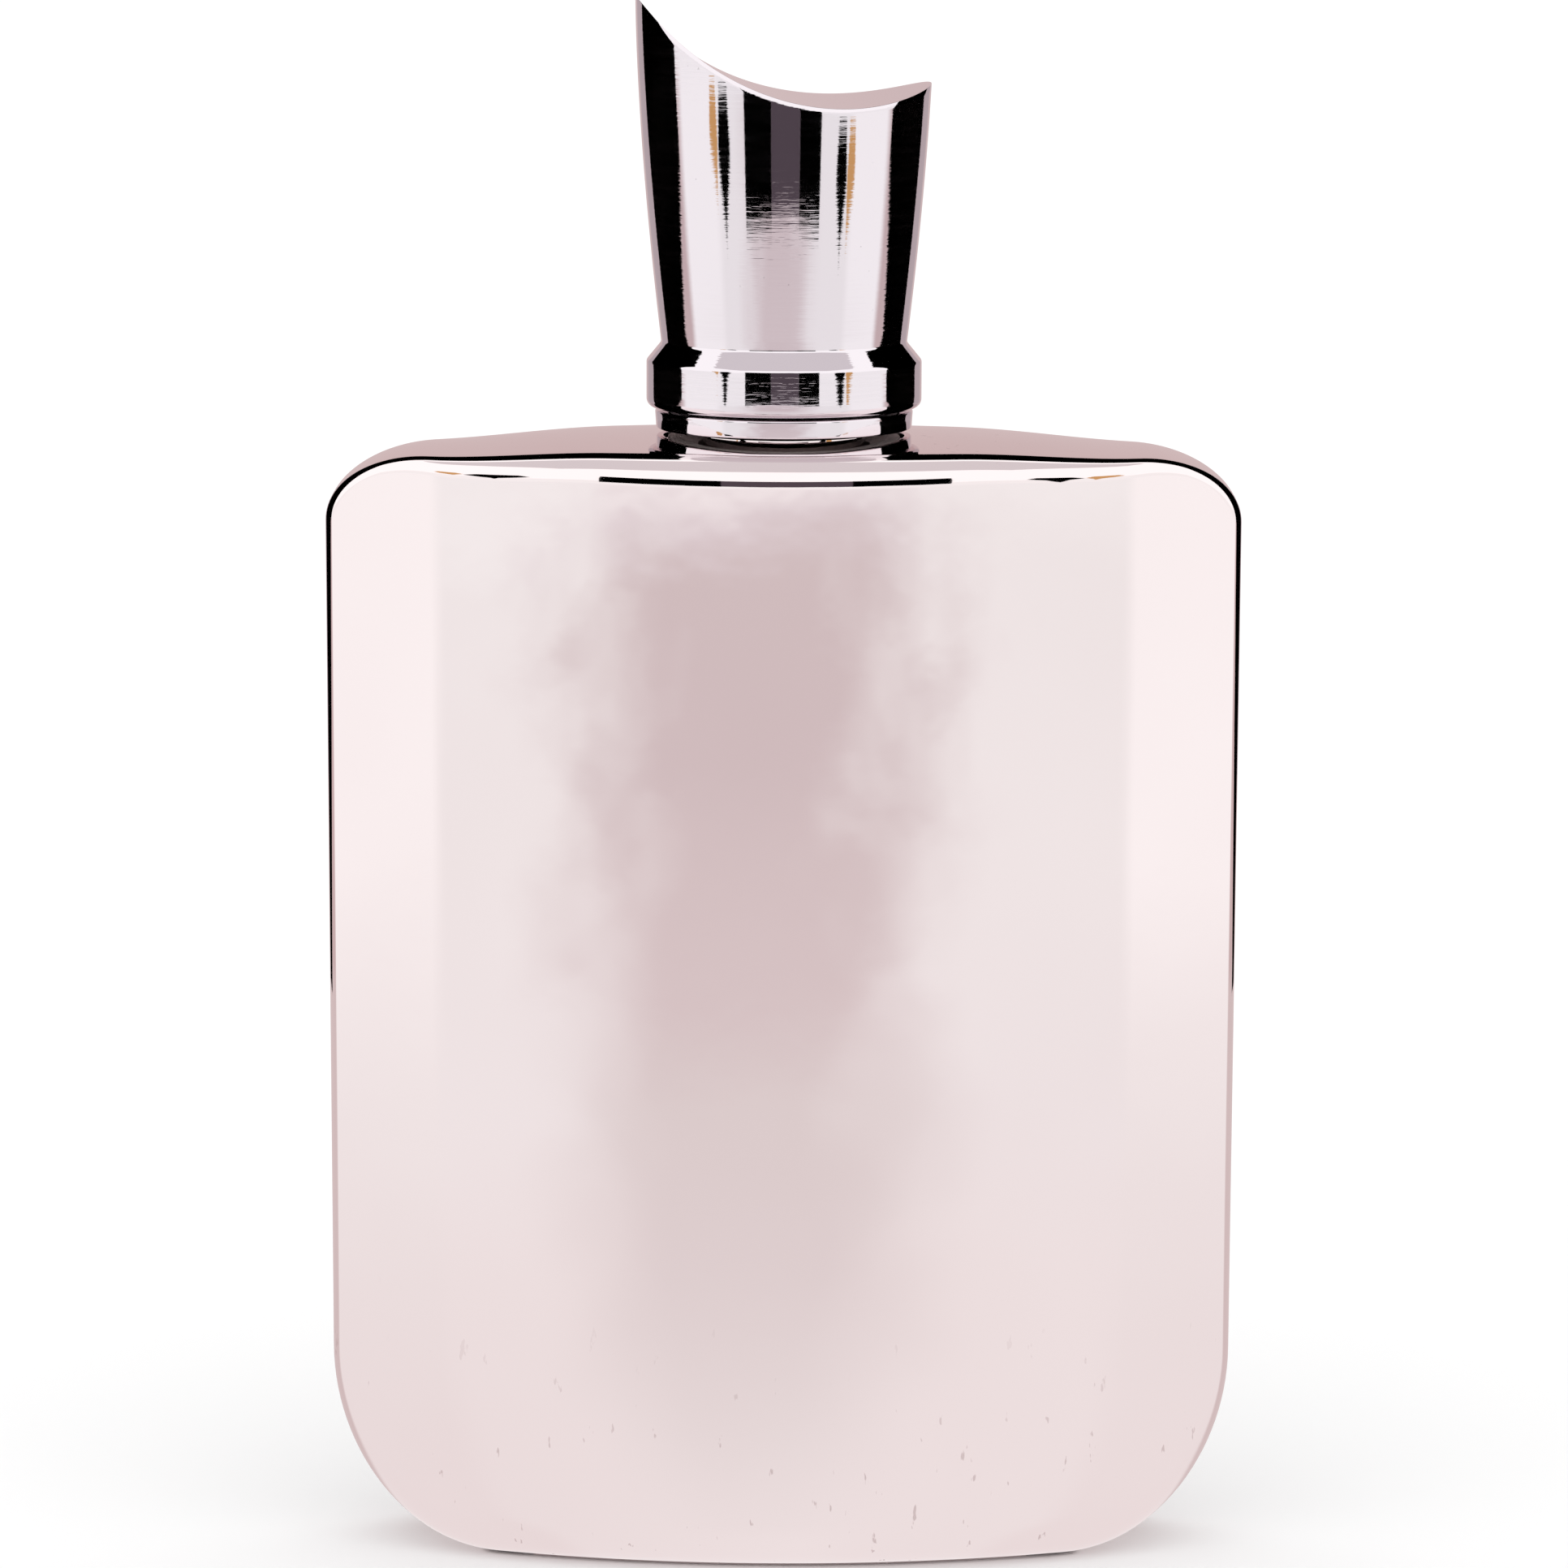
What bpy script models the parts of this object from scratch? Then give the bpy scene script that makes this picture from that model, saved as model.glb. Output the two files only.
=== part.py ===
"""Flask-shaped perfume atomiser: metallised glass flacon, crimped spray pump and a pull-off scooped cap.

Units are metres, +Z is up, the front faces -Y. The origin is the centre of the flat base.
Run with: blender --background --python part.py
"""
import math

import bmesh
import bpy
from mathutils import Matrix, Vector

MM = 0.001

# Overall glass body
HALF_WIDTH = 37.0 * MM            # at the shoulder
BOTTOM_TAPER = 0.35 * MM          # how much narrower each side is at the base
SHOULDER_Z = 90.32 * MM           # front and back edge of the shoulder
SHOULDER_CROWN_RADIUS = 100.0 * MM
SHOULDER_SAG = 0.6 * MM           # how much lower the shoulder is over the corners than at the neck
SAG_SPAN = (14.0 * MM, 28.5 * MM)  # where the shoulder falls by that much
TOP_CORNER = (8.5 * MM, 5.6 * MM)       # width and height of the rounded top corners
BOTTOM_CORNER = (13.5 * MM, 16.0 * MM)
FOOT_HALF_WIDTH = 22.5 * MM
FOOT_HEIGHT = 0.25 * MM
FOOT_INSET = 3.0 * MM

# Plan section of the body: a shallow front arc, a soft crease, then a steeper margin
HALF_THICKNESS = 14.35 * MM
FACE_RADIUS = 66.0 * MM
CREASE_X = 28.3 * MM
MARGIN_ANGLE = math.radians(31.0)
MARGIN_RADIUS = 200.0 * MM
EDGE_RADIUS = 2.1 * MM            # at the middle; it shrinks with the body's thickness
SIDE_EDGE_SHARE = 0.37
BOTTOM_EDGE_RADIUS = 3.2 * MM
THIN_EDGE = 0.3 * MM              # half thickness left at the sides between the two roundings

# Glass walls
FACE_WALL = 3.3 * MM
SIDE_WALL = 4.2 * MM
BASE_WALL = 7.0 * MM
TOP_WALL = 4.8 * MM

# Neck finish
NECK_RADIUS = 6.55 * MM
BEAD_RADIUS = 7.3 * MM
BORE_RADIUS = 4.75 * MM
NECK_TOP_Z = 98.9 * MM

# Cap
CAP_FOOT_Z = 93.25 * MM
CAP_TIP_Z = 126.6 * MM
RING_RADIUS = 11.11 * MM
RING_TOP_Z = 97.05 * MM
CONE_FOOT_RADIUS = 9.92 * MM
CONE_FOOT_Z = 98.5 * MM
CONE_TOP_RADIUS = 12.03 * MM
CAP_TURN = math.radians(5.0)
SCOOP_RADIUS = 19.77 * MM
SCOOP_LOW_Z = 117.85 * MM
SCOOP_LOW_U = 4.17 * MM
CAP_CAVITY_TOP_Z = 114.6 * MM

# Collar
COLLAR_FOOT_Z = 91.55 * MM
COLLAR_TOP_Z = 106.4 * MM
COLLAR_TUBE_RADIUS = 8.5 * MM
SHEET = 0.6 * MM

# Pump
HOUSING_BORE = 3.2 * MM
SPRING_SEAT_Z = 86.4 * MM
STEM_RADIUS = 1.5 * MM
STEM_TOP_Z = 109.0 * MM
HEAD_RADIUS = 6.15 * MM
HEAD_FOOT_Z = 105.8 * MM
HEAD_TOP_Z = 112.8 * MM
NOZZLE_Z = 109.4 * MM
DIP_TUBE_RADIUS = 1.45 * MM
DIP_TUBE_FOOT_Z = 8.6 * MM

# Facets around a turned piece, by size
ROUND_LARGE = 40
ROUND_MEDIUM = 28
ROUND_SMALL = 16


def clear_scene():
    for item in list(bpy.data.objects):
        bpy.data.objects.remove(item, do_unlink=True)


def make_material(name, colour, roughness, metallic):
    material = bpy.data.materials.new(name)
    material.use_nodes = True
    shader = material.node_tree.nodes["Principled BSDF"]
    shader.inputs["Base Color"].default_value = (*colour, 1.0)
    shader.inputs["Roughness"].default_value = roughness
    shader.inputs["Metallic"].default_value = metallic
    return material


def add_object(name, mesh_builder, material, parent=None, smooth_angle=35.0):
    """Turn a bmesh into a named object, parented and shaded."""
    mesh = bpy.data.meshes.new(name)
    bmesh.ops.recalc_face_normals(mesh_builder, faces=mesh_builder.faces)
    mesh_builder.to_mesh(mesh)
    mesh_builder.free()
    mesh.materials.append(material)
    mesh.shade_smooth()
    mesh.set_sharp_from_angle(angle=math.radians(smooth_angle))
    item = bpy.data.objects.new(name, mesh)
    bpy.context.collection.objects.link(item)
    if parent is not None:
        item.parent = parent
        item.matrix_parent_inverse = Matrix.Translation(parent.location).inverted()
    return item


def add_joint_empty(name, height):
    """An empty on the pump axis that carries the pieces of one moving body."""
    empty = bpy.data.objects.new(name, None)
    empty.location = (0.0, 0.0, height)
    bpy.context.collection.objects.link(empty)
    return empty


def arc_points(centre, radius, start, end, steps):
    """Points (radius, height) along an arc in the turning plane; angles in degrees."""
    points = []
    for step in range(steps + 1):
        angle = math.radians(start + (end - start) * step / steps)
        points.append((centre[0] + radius * math.cos(angle), centre[1] + radius * math.sin(angle)))
    return points


def turned(profile, segments, centre=(0.0, 0.0)):
    """Spin a closed profile of (radius, height) points about the vertical axis; radius 0 becomes a pole."""
    builder = bmesh.new()
    rings = []
    for radius, height in profile:
        if radius < 1e-9:
            rings.append([builder.verts.new((centre[0], centre[1], height))])
            continue
        ring = []
        for step in range(segments):
            angle = 2.0 * math.pi * step / segments
            x = centre[0] + radius * math.cos(angle)
            y = centre[1] + radius * math.sin(angle)
            ring.append(builder.verts.new((x, y, height)))
        rings.append(ring)
    for first, second in zip(rings, rings[1:] + rings[:1]):
        if len(first) == 1 and len(second) == 1:
            continue
        for step in range(segments):
            after = (step + 1) % segments
            if len(first) == 1:
                builder.faces.new((first[0], second[step], second[after]))
            elif len(second) == 1:
                builder.faces.new((first[step], second[0], first[after]))
            else:
                builder.faces.new((first[step], second[step], second[after], first[after]))
    return builder


def hide_cutter(cutter):
    cutter.hide_render = True
    cutter.hide_set(True)
    cutter.display_type = 'WIRE'


def boolean(target, other, operation):
    modifier = target.modifiers.new(operation.lower(), 'BOOLEAN')
    modifier.operation = operation
    modifier.solver = 'EXACT'
    modifier.object = other
    hide_cutter(other)


# ---------------------------------------------------------------- glass body

def face_depth(x):
    """Half thickness of the body at a distance x from the middle."""
    x = abs(x)
    inner = min(x, CREASE_X)
    depth = HALF_THICKNESS - (FACE_RADIUS - math.sqrt(FACE_RADIUS ** 2 - inner ** 2))
    if x > CREASE_X:
        run = x - CREASE_X
        start = MARGIN_RADIUS * math.sin(MARGIN_ANGLE)
        fall = math.sqrt(MARGIN_RADIUS ** 2 - start ** 2)
        fall -= math.sqrt(MARGIN_RADIUS ** 2 - (start + run) ** 2)
        depth -= fall
    return depth


def side_x(half_width, z, top_z):
    """The sides taper slightly towards the base."""
    return half_width - BOTTOM_TAPER * (1.0 - z / top_z)


def outline(half_width, low_z, top_z, top_corner, bottom_corner, across, upright, corner_steps):
    """Front outline, counter-clockwise from the middle of the lower left corner.

    Returns four runs of points (bottom, right, top, left); each run starts at a corner's middle.
    """
    def corner(centre_x, centre_z, size, start):
        points = []
        for step in range(2 * corner_steps + 1):
            angle = math.radians(start + 90.0 * step / (2 * corner_steps))
            points.append((centre_x + size[0] * math.cos(angle), centre_z + size[1] * math.sin(angle)))
        return points

    def straight(first, last, count):
        inner = []
        for step in range(1, count):
            t = step / count
            inner.append((first[0] + (last[0] - first[0]) * t, first[1] + (last[1] - first[1]) * t))
        return inner

    low_half = side_x(half_width, low_z, top_z)
    top_half = half_width
    lower_left = corner(-low_half + bottom_corner[0], low_z + bottom_corner[1], bottom_corner, 180.0)
    lower_right = corner(low_half - bottom_corner[0], low_z + bottom_corner[1], bottom_corner, 270.0)
    upper_right = corner(top_half - top_corner[0], top_z - top_corner[1], top_corner, 0.0)
    upper_left = corner(-top_half + top_corner[0], top_z - top_corner[1], top_corner, 90.0)
    middle = corner_steps
    bottom = lower_left[middle:] + straight(lower_left[-1], lower_right[0], across) + lower_right[:middle]
    right = lower_right[middle:] + straight(lower_right[-1], upper_right[0], upright) + upper_right[:middle]
    top = upper_right[middle:] + straight(upper_right[-1], upper_left[0], across) + upper_left[:middle]
    left = upper_left[middle:] + straight(upper_left[-1], lower_left[0], upright) + lower_left[:middle]
    return bottom, right, top, left


def outline_normals(loop):
    """Outward unit normals of a counter-clockwise loop."""
    normals = []
    for index, point in enumerate(loop):
        before = loop[index - 1]
        after = loop[(index + 1) % len(loop)]
        along = Vector((after[0] - before[0], after[1] - before[1])).normalized()
        normals.append(Vector((along.y, -along.x)))
    return normals


def transfinite(bottom, right, top, left):
    """Fill a four-sided loop with a grid of points; rows run bottom to top, columns left to right."""
    top_row = list(reversed(top))
    left_column = list(reversed(left))
    columns = len(bottom) - 1
    rows = len(right) - 1
    grid = []
    for row in range(rows + 1):
        v = row / rows
        line = []
        for column in range(columns + 1):
            u = column / columns
            point = Vector(bottom[column]) * (1 - v) + Vector(top_row[column]) * v
            point += Vector(left_column[row]) * (1 - u) + Vector(right[row]) * u
            point -= Vector(bottom[0]) * (1 - u) * (1 - v) + Vector(bottom[-1]) * u * (1 - v)
            point -= Vector(top_row[0]) * (1 - u) * v + Vector(top_row[-1]) * u * v
            line.append((point.x, point.y))
        grid.append(line)
    return grid


def pillow(runs, depth_at, edge_radius, bottom_radius, edge_steps, wall_levels, crown):
    """A closed lens body: a rounded outline, faces at +-depth_at(x) and softly rounded edges."""
    builder = bmesh.new()
    loop = [point for run in runs for point in run]
    normals = outline_normals(loop)

    def place_point(point, normal, inset, y):
        x = point[0] - normal.x * inset
        z = point[1] - normal.y * inset
        if crown and normal.y > 0.0:
            z += (depth_at(x) ** 2 - y ** 2) / (2.0 * SHOULDER_CROWN_RADIUS) * normal.y
        return Vector((x, y, z))

    def reach_at(point, normal):
        """Edge rounding at one outline point: fuller along the bottom, limited where the lens gets thin."""
        edge = edge_radius * max(SIDE_EDGE_SHARE, face_depth(point[0]) / HALF_THICKNESS)
        reach = edge + (bottom_radius - edge) * max(0.0, -normal.y) ** 2
        return min(reach, depth_at(point[0]) - THIN_EDGE)

    def ring(angle, side):
        """One ring of the rounded edge; angle 0 is the side wall and 90 degrees the face."""
        placed = []
        for point, normal in zip(loop, normals):
            reach = reach_at(point, normal)
            inset = reach * (1.0 - math.cos(angle))
            half = depth_at(point[0] - normal.x * inset) - reach * (1.0 - math.sin(angle))
            placed.append(place_point(point, normal, inset, side * half))
        return placed

    rings = []
    for step in range(edge_steps + 1):
        rings.append(ring(math.radians(90.0 * (edge_steps - step) / edge_steps), -1))
    for level in wall_levels:
        between = []
        for point, normal in zip(loop, normals):
            half = depth_at(point[0]) - reach_at(point, normal)
            between.append(place_point(point, normal, 0.0, half * (2.0 * level - 1.0)))
        rings.append(between)
    for step in range(edge_steps + 1):
        rings.append(ring(math.radians(90.0 * step / edge_steps), 1))

    made = [[builder.verts.new(point) for point in points] for points in rings]
    count = len(loop)
    for first, second in zip(made, made[1:]):
        for index in range(count):
            after = (index + 1) % count
            builder.faces.new((first[index], second[index], second[after], first[after]))

    lengths = [len(run) for run in runs]
    for ring_verts, side in ((made[0], -1), (made[-1], 1)):
        closed = ring_verts + ring_verts[:1]
        sides = []
        start = 0
        for length in lengths:
            sides.append(closed[start:start + length + 1])
            start += length
        flat = [[(vert.co.x, vert.co.z) for vert in run] for run in sides]
        grid = transfinite(*flat)
        rows, columns = len(grid), len(grid[0])
        verts = [[None] * columns for _ in range(rows)]
        for column in range(columns):
            verts[0][column] = sides[0][column]
            verts[rows - 1][column] = sides[2][columns - 1 - column]
        for row in range(rows):
            verts[row][columns - 1] = sides[1][row]
            verts[row][0] = sides[3][rows - 1 - row]
        for row in range(1, rows - 1):
            for column in range(1, columns - 1):
                x, z = grid[row][column]
                verts[row][column] = builder.verts.new((x, side * depth_at(x), z))
        for row in range(rows - 1):
            for column in range(columns - 1):
                corners = (verts[row][column], verts[row][column + 1],
                           verts[row + 1][column + 1], verts[row + 1][column])
                builder.faces.new(corners if side < 0 else corners[::-1])
    return builder


def shoulder_lift(x, z):
    """How far the shoulder rises over its height at the corners."""
    if z < 0.5 * SHOULDER_Z:
        return 0.0
    t = min(1.0, max(0.0, (abs(x) - SAG_SPAN[0]) / (SAG_SPAN[1] - SAG_SPAN[0])))
    return SHOULDER_SAG * (1.0 - t * t * (3.0 - 2.0 * t))


def bottle_outer():
    """The glass body above its foot."""
    runs = outline(HALF_WIDTH, FOOT_HEIGHT, SHOULDER_Z - SHOULDER_SAG, TOP_CORNER, BOTTOM_CORNER, 14, 5, 3)
    runs = [[(x, z + shoulder_lift(x, z)) for x, z in run] for run in runs]
    return pillow(runs, face_depth, EDGE_RADIUS, BOTTOM_EDGE_RADIUS, 4, (0.2, 0.4, 0.6, 0.8), True)


def bottle_foot():
    """The low pad the bottle stands on: the plan lens drawn in, with a small draught."""
    builder = bmesh.new()
    steps = 10
    levels = ((0.0, 0.25 * MM), (0.25 * MM, 0.0), (3.2 * MM, 0.0))
    rings = []
    for height, shrink in levels:
        front = []
        for step in range(-steps, steps + 1):
            x = (FOOT_HALF_WIDTH - shrink) * math.sin(0.5 * math.pi * step / steps)
            room = math.sqrt(max(0.0, 1.0 - (x / (FOOT_HALF_WIDTH - shrink)) ** 2))
            soft_end = min(1.0, 2.2 * room)
            front.append((x, (face_depth(x) - FOOT_INSET - shrink) * soft_end))
        ring = [builder.verts.new((x, -y, height)) for x, y in front]
        ring += [builder.verts.new((x, y, height)) for x, y in reversed(front[1:-1])]
        rings.append(ring)
    count = len(rings[0])
    for first, second in zip(rings, rings[1:]):
        for index in range(count):
            after = (index + 1) % count
            builder.faces.new((first[index], first[after], second[after], second[index]))
    builder.faces.new(rings[0][::-1])
    builder.faces.new(rings[-1])
    return builder


def neck_solid():
    """Neck and crimp bead, flared where it leaves the shoulder."""
    root = 89.0 * MM
    flare = 1.3 * MM
    flare_z = 91.2 * MM + flare
    profile = [(0.0, NECK_TOP_Z)]
    profile += arc_points((BEAD_RADIUS - 0.7 * MM, NECK_TOP_Z - 0.7 * MM), 0.7 * MM, 90, 0, 4)
    profile += arc_points((BEAD_RADIUS - 0.5 * MM, 96.0 * MM), 0.5 * MM, 0, -70, 3)
    profile += [(NECK_RADIUS, 95.2 * MM)]
    profile += arc_points((NECK_RADIUS + flare, flare_z), flare, 180, 270, 4)
    profile += [(NECK_RADIUS + flare, root), (0.0, root)]
    return turned(profile, ROUND_LARGE)


def cavity_solid():
    """The room for the liquid: the outer lens drawn in by the wall."""
    half = HALF_WIDTH - SIDE_WALL
    runs = outline(half, BASE_WALL, SHOULDER_Z - TOP_WALL, (5.0 * MM, 5.0 * MM), (12.0 * MM, 11.0 * MM),
                       8, 3, 2)

    def depth(x):
        return face_depth(x) - FACE_WALL
    return pillow(runs, depth, 1.6 * MM, 3.5 * MM, 2, (0.5,), False)


def bore_solid():
    """The neck bore, opening softly into the cavity."""
    low = SHOULDER_Z - TOP_WALL - 4.0 * MM
    profile = [(0.0, NECK_TOP_Z + 1.0 * MM), (BORE_RADIUS, NECK_TOP_Z + 1.0 * MM),
               (BORE_RADIUS, SHOULDER_Z - 1.5 * MM)]
    profile += [(BORE_RADIUS + 2.4 * MM, SHOULDER_Z - TOP_WALL - 0.5 * MM), (BORE_RADIUS + 2.4 * MM, low)]
    profile += [(0.0, low)]
    return turned(profile, ROUND_MEDIUM)


def make_bottle(material):
    bottle = add_object("bottle_glass", bottle_outer(), material)
    additions = (("foot_guide", bottle_foot()), ("neck_guide", neck_solid()))
    for name, builder in additions:
        boolean(bottle, add_object(name, builder, material), 'UNION')
    removals = (("cavity_guide", cavity_solid()), ("bore_guide", bore_solid()))
    for name, builder in removals:
        boolean(bottle, add_object(name, builder, material), 'DIFFERENCE')
    return bottle


# ---------------------------------------------------------------- cap

def cone_radius(z):
    """The cap's wall flares like a trumpet: fast at the foot, nearly upright at the top."""
    t = max(0.0, (z - CONE_FOOT_Z) / (CAP_TIP_Z - CONE_FOOT_Z))
    return CONE_FOOT_RADIUS + (CONE_TOP_RADIUS - CONE_FOOT_RADIUS) * (1.0 - (1.0 - t) ** 1.62)


def cap_shell_solid():
    foot_round = 0.7 * MM
    bore_foot = 9.35 * MM
    top = CAP_TIP_Z
    profile = [(0.0, top)]
    steps = 9
    for step in range(steps + 1):
        z = top + (CONE_FOOT_Z - top) * step / steps
        profile.append((cone_radius(z), z))
    profile += [(RING_RADIUS, RING_TOP_Z)]
    profile += arc_points((RING_RADIUS - foot_round, CAP_FOOT_Z + foot_round), foot_round, 0, -90, 3)
    profile += [(bore_foot, CAP_FOOT_Z), (bore_foot, CAP_CAVITY_TOP_Z), (0.0, CAP_CAVITY_TOP_Z)]
    return turned(profile, ROUND_LARGE)


def scoop_cutter():
    """A roller lying front to back that hollows the cap's top into a slant with a high tip."""
    builder = bmesh.new()
    turn = Matrix.Rotation(CAP_TURN, 4, 'Z')
    place = turn @ Matrix.Translation((SCOOP_LOW_U, 0.0, SCOOP_LOW_Z + SCOOP_RADIUS))
    place = place @ Matrix.Rotation(math.radians(90.0), 4, 'X')
    bmesh.ops.create_cone(builder, cap_ends=True, segments=96, radius1=SCOOP_RADIUS, radius2=SCOOP_RADIUS,
                          depth=40.0 * MM, matrix=place)
    return builder


def make_cap(metal, plastic, parent):
    shell = add_object("cap_shell", cap_shell_solid(), metal, parent)
    boolean(shell, add_object("scoop_guide", scoop_cutter(), metal), 'DIFFERENCE')

    outer = 9.2 * MM
    grip = COLLAR_TUBE_RADIUS + 0.15 * MM
    foot = CAP_FOOT_Z + 0.25 * MM
    top = CAP_CAVITY_TOP_Z - 0.2 * MM
    ledge = 108.2 * MM
    profile = [(0.0, top), (outer, top), (outer, foot), (grip, foot), (grip, ledge),
               (7.0 * MM, ledge + 0.8 * MM), (7.0 * MM, top - 0.7 * MM), (0.0, top - 0.7 * MM)]
    add_object("cap_insert", turned(profile, ROUND_LARGE), plastic, parent)


# ---------------------------------------------------------------- collar and crimp

def make_collar(metal, plastic):
    flange_top = CAP_FOOT_Z - 0.2 * MM
    top = COLLAR_TOP_Z
    tube = COLLAR_TUBE_RADIUS
    lip_radius = HEAD_RADIUS + 0.3 * MM
    profile = arc_points((tube - 0.4 * MM, top - 0.4 * MM), 0.4 * MM, 90, 0, 2)
    profile += [(tube, flange_top), (10.25 * MM, flange_top), (10.42 * MM, flange_top - 0.17 * MM),
                (10.33 * MM, COLLAR_FOOT_Z + 0.15 * MM), (10.18 * MM, COLLAR_FOOT_Z),
                (9.72 * MM, COLLAR_FOOT_Z), (9.72 * MM, 92.4 * MM), (tube - SHEET, 92.9 * MM),
                (tube - SHEET, top - SHEET), (lip_radius, top - SHEET), (lip_radius, top)]
    add_object("collar", turned(profile, ROUND_LARGE), metal)

    liner = [(7.65 * MM, 94.55 * MM), (7.65 * MM, 92.72 * MM), (9.4 * MM, 92.25 * MM), (9.4 * MM, 91.8 * MM),
             (8.5 * MM, 91.8 * MM), (7.0 * MM, 92.9 * MM), (7.0 * MM, 94.55 * MM)]
    add_object("collar_liner", turned(liner, ROUND_LARGE), plastic)


def make_crimp(metal, rubber):
    sheet = 0.3 * MM
    wall = BEAD_RADIUS + 0.12 * MM
    top = 101.45 * MM
    hole = 4.35 * MM
    tuck = 94.95 * MM
    profile = arc_points((wall + sheet - 0.5 * MM, top - 0.5 * MM), 0.5 * MM, 90, 0, 3)
    profile += [(wall + sheet, 95.7 * MM), (7.0 * MM, tuck), (6.75 * MM, tuck + 0.2 * MM),
                (wall, 95.75 * MM), (wall, top - sheet), (hole, top - sheet), (hole, top)]
    add_object("ferrule", turned(profile, ROUND_LARGE), metal)

    low = NECK_TOP_Z + 0.1 * MM
    high = low + 0.75 * MM
    gasket = [(7.1 * MM, high), (7.1 * MM, low), (4.9 * MM, low), (4.9 * MM, high)]
    add_object("neck_gasket", turned(gasket, ROUND_LARGE), rubber)


# ---------------------------------------------------------------- pump

def make_housing(plastic):
    flange_low = NECK_TOP_Z + 0.95 * MM
    flange_top = flange_low + 0.6 * MM
    body = 4.35 * MM
    profile = [(7.0 * MM, flange_top), (7.0 * MM, flange_low), (body, flange_low - 0.05 * MM), (body, 84.2 * MM),
               (3.0 * MM, 82.6 * MM), (2.5 * MM, 82.2 * MM), (2.5 * MM, 77.0 * MM),
               (1.75 * MM, 77.0 * MM), (1.75 * MM, 82.0 * MM), (0.75 * MM, 82.4 * MM),
               (0.75 * MM, 83.3 * MM), (1.55 * MM, 84.1 * MM), (1.55 * MM, 85.7 * MM),
               (1.05 * MM, 86.1 * MM), (1.05 * MM, SPRING_SEAT_Z), (HOUSING_BORE, SPRING_SEAT_Z),
               (HOUSING_BORE, flange_top)]
    add_object("pump_housing", turned(profile, ROUND_MEDIUM), plastic)


def make_guide(plastic, rubber):
    seat = NECK_TOP_Z + 1.65 * MM
    profile = [(3.9 * MM, seat + 1.15 * MM), (3.9 * MM, seat + 0.5 * MM), (5.8 * MM, seat + 0.5 * MM),
               (5.8 * MM, seat), (3.0 * MM, seat), (3.0 * MM, 98.9 * MM), (1.62 * MM, 98.9 * MM),
               (1.62 * MM, 99.6 * MM), (2.25 * MM, 99.6 * MM), (2.25 * MM, seat + 1.15 * MM)]
    add_object("stem_guide", turned(profile, ROUND_MEDIUM), plastic)

    low = 99.75 * MM
    seal = [(2.15 * MM, low + 1.3 * MM), (2.15 * MM, low), (1.6 * MM, low), (1.6 * MM, low + 0.3 * MM),
            (1.8 * MM, low + 0.6 * MM), (1.6 * MM, low + 1.3 * MM)]
    add_object("stem_seal", turned(seal, ROUND_MEDIUM), rubber)


def make_stem(plastic, soft, steel, parent):
    flange_top = 98.6 * MM
    foot = 92.4 * MM
    profile = [(STEM_RADIUS, STEM_TOP_Z), (STEM_RADIUS, flange_top), (2.7 * MM, flange_top),
               (2.7 * MM, flange_top - 0.7 * MM), (1.2 * MM, flange_top - 0.7 * MM), (1.2 * MM, foot),
               (0.55 * MM, foot), (0.55 * MM, STEM_TOP_Z)]
    add_object("stem", turned(profile, ROUND_MEDIUM), plastic, parent)

    low = 93.0 * MM
    piston = [(3.08 * MM, low + 2.3 * MM), (2.75 * MM, low + 1.9 * MM), (2.75 * MM, low + 0.5 * MM),
              (3.08 * MM, low), (2.4 * MM, low + 0.35 * MM), (1.32 * MM, low + 0.35 * MM),
              (1.32 * MM, low + 2.0 * MM), (2.4 * MM, low + 2.0 * MM)]
    add_object("piston", turned(piston, ROUND_MEDIUM), soft, parent)
    make_spring("precompression_spring", steel, (low + 2.35 * MM, flange_top - 1.1 * MM), 1.85 * MM,
                0.2 * MM, 2.5, parent)


def make_spring(name, steel, span, radius, wire, turns, parent=None):
    """A coil: a round wire swept along a helix, with flat cut ends."""
    builder = bmesh.new()
    around = 6
    count = int(turns * 12)
    low, high = span
    pitch_slope = math.atan2(high - low, 2.0 * math.pi * radius * turns)
    rings = []
    for index in range(count + 1):
        t = index / count
        angle = 2.0 * math.pi * turns * t
        outward = Vector((math.cos(angle), math.sin(angle), 0.0))
        along = Vector((-math.sin(angle), math.cos(angle), 0.0)) * math.cos(pitch_slope)
        along.z = math.sin(pitch_slope)
        upward = outward.cross(along)
        centre = outward * radius + Vector((0.0, 0.0, low + (high - low) * t))
        ring = []
        for step in range(around):
            turn = 2.0 * math.pi * step / around
            offset = outward * math.cos(turn) + upward * math.sin(turn)
            ring.append(builder.verts.new(centre + offset * wire))
        rings.append(ring)
    for first, second in zip(rings, rings[1:]):
        for step in range(around):
            after = (step + 1) % around
            builder.faces.new((first[step], first[after], second[after], second[step]))
    builder.faces.new(rings[0][::-1])
    builder.faces.new(rings[-1])
    add_object(name, builder, steel, parent, 60.0)


def make_check_ball(steel, parent):
    radius = 1.15 * MM
    builder = bmesh.new()
    bmesh.ops.create_icosphere(builder, subdivisions=2, radius=radius,
                               matrix=Matrix.Translation((0.0, 0.0, 84.4 * MM)))
    add_object("check_ball", builder, steel, parent)


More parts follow.
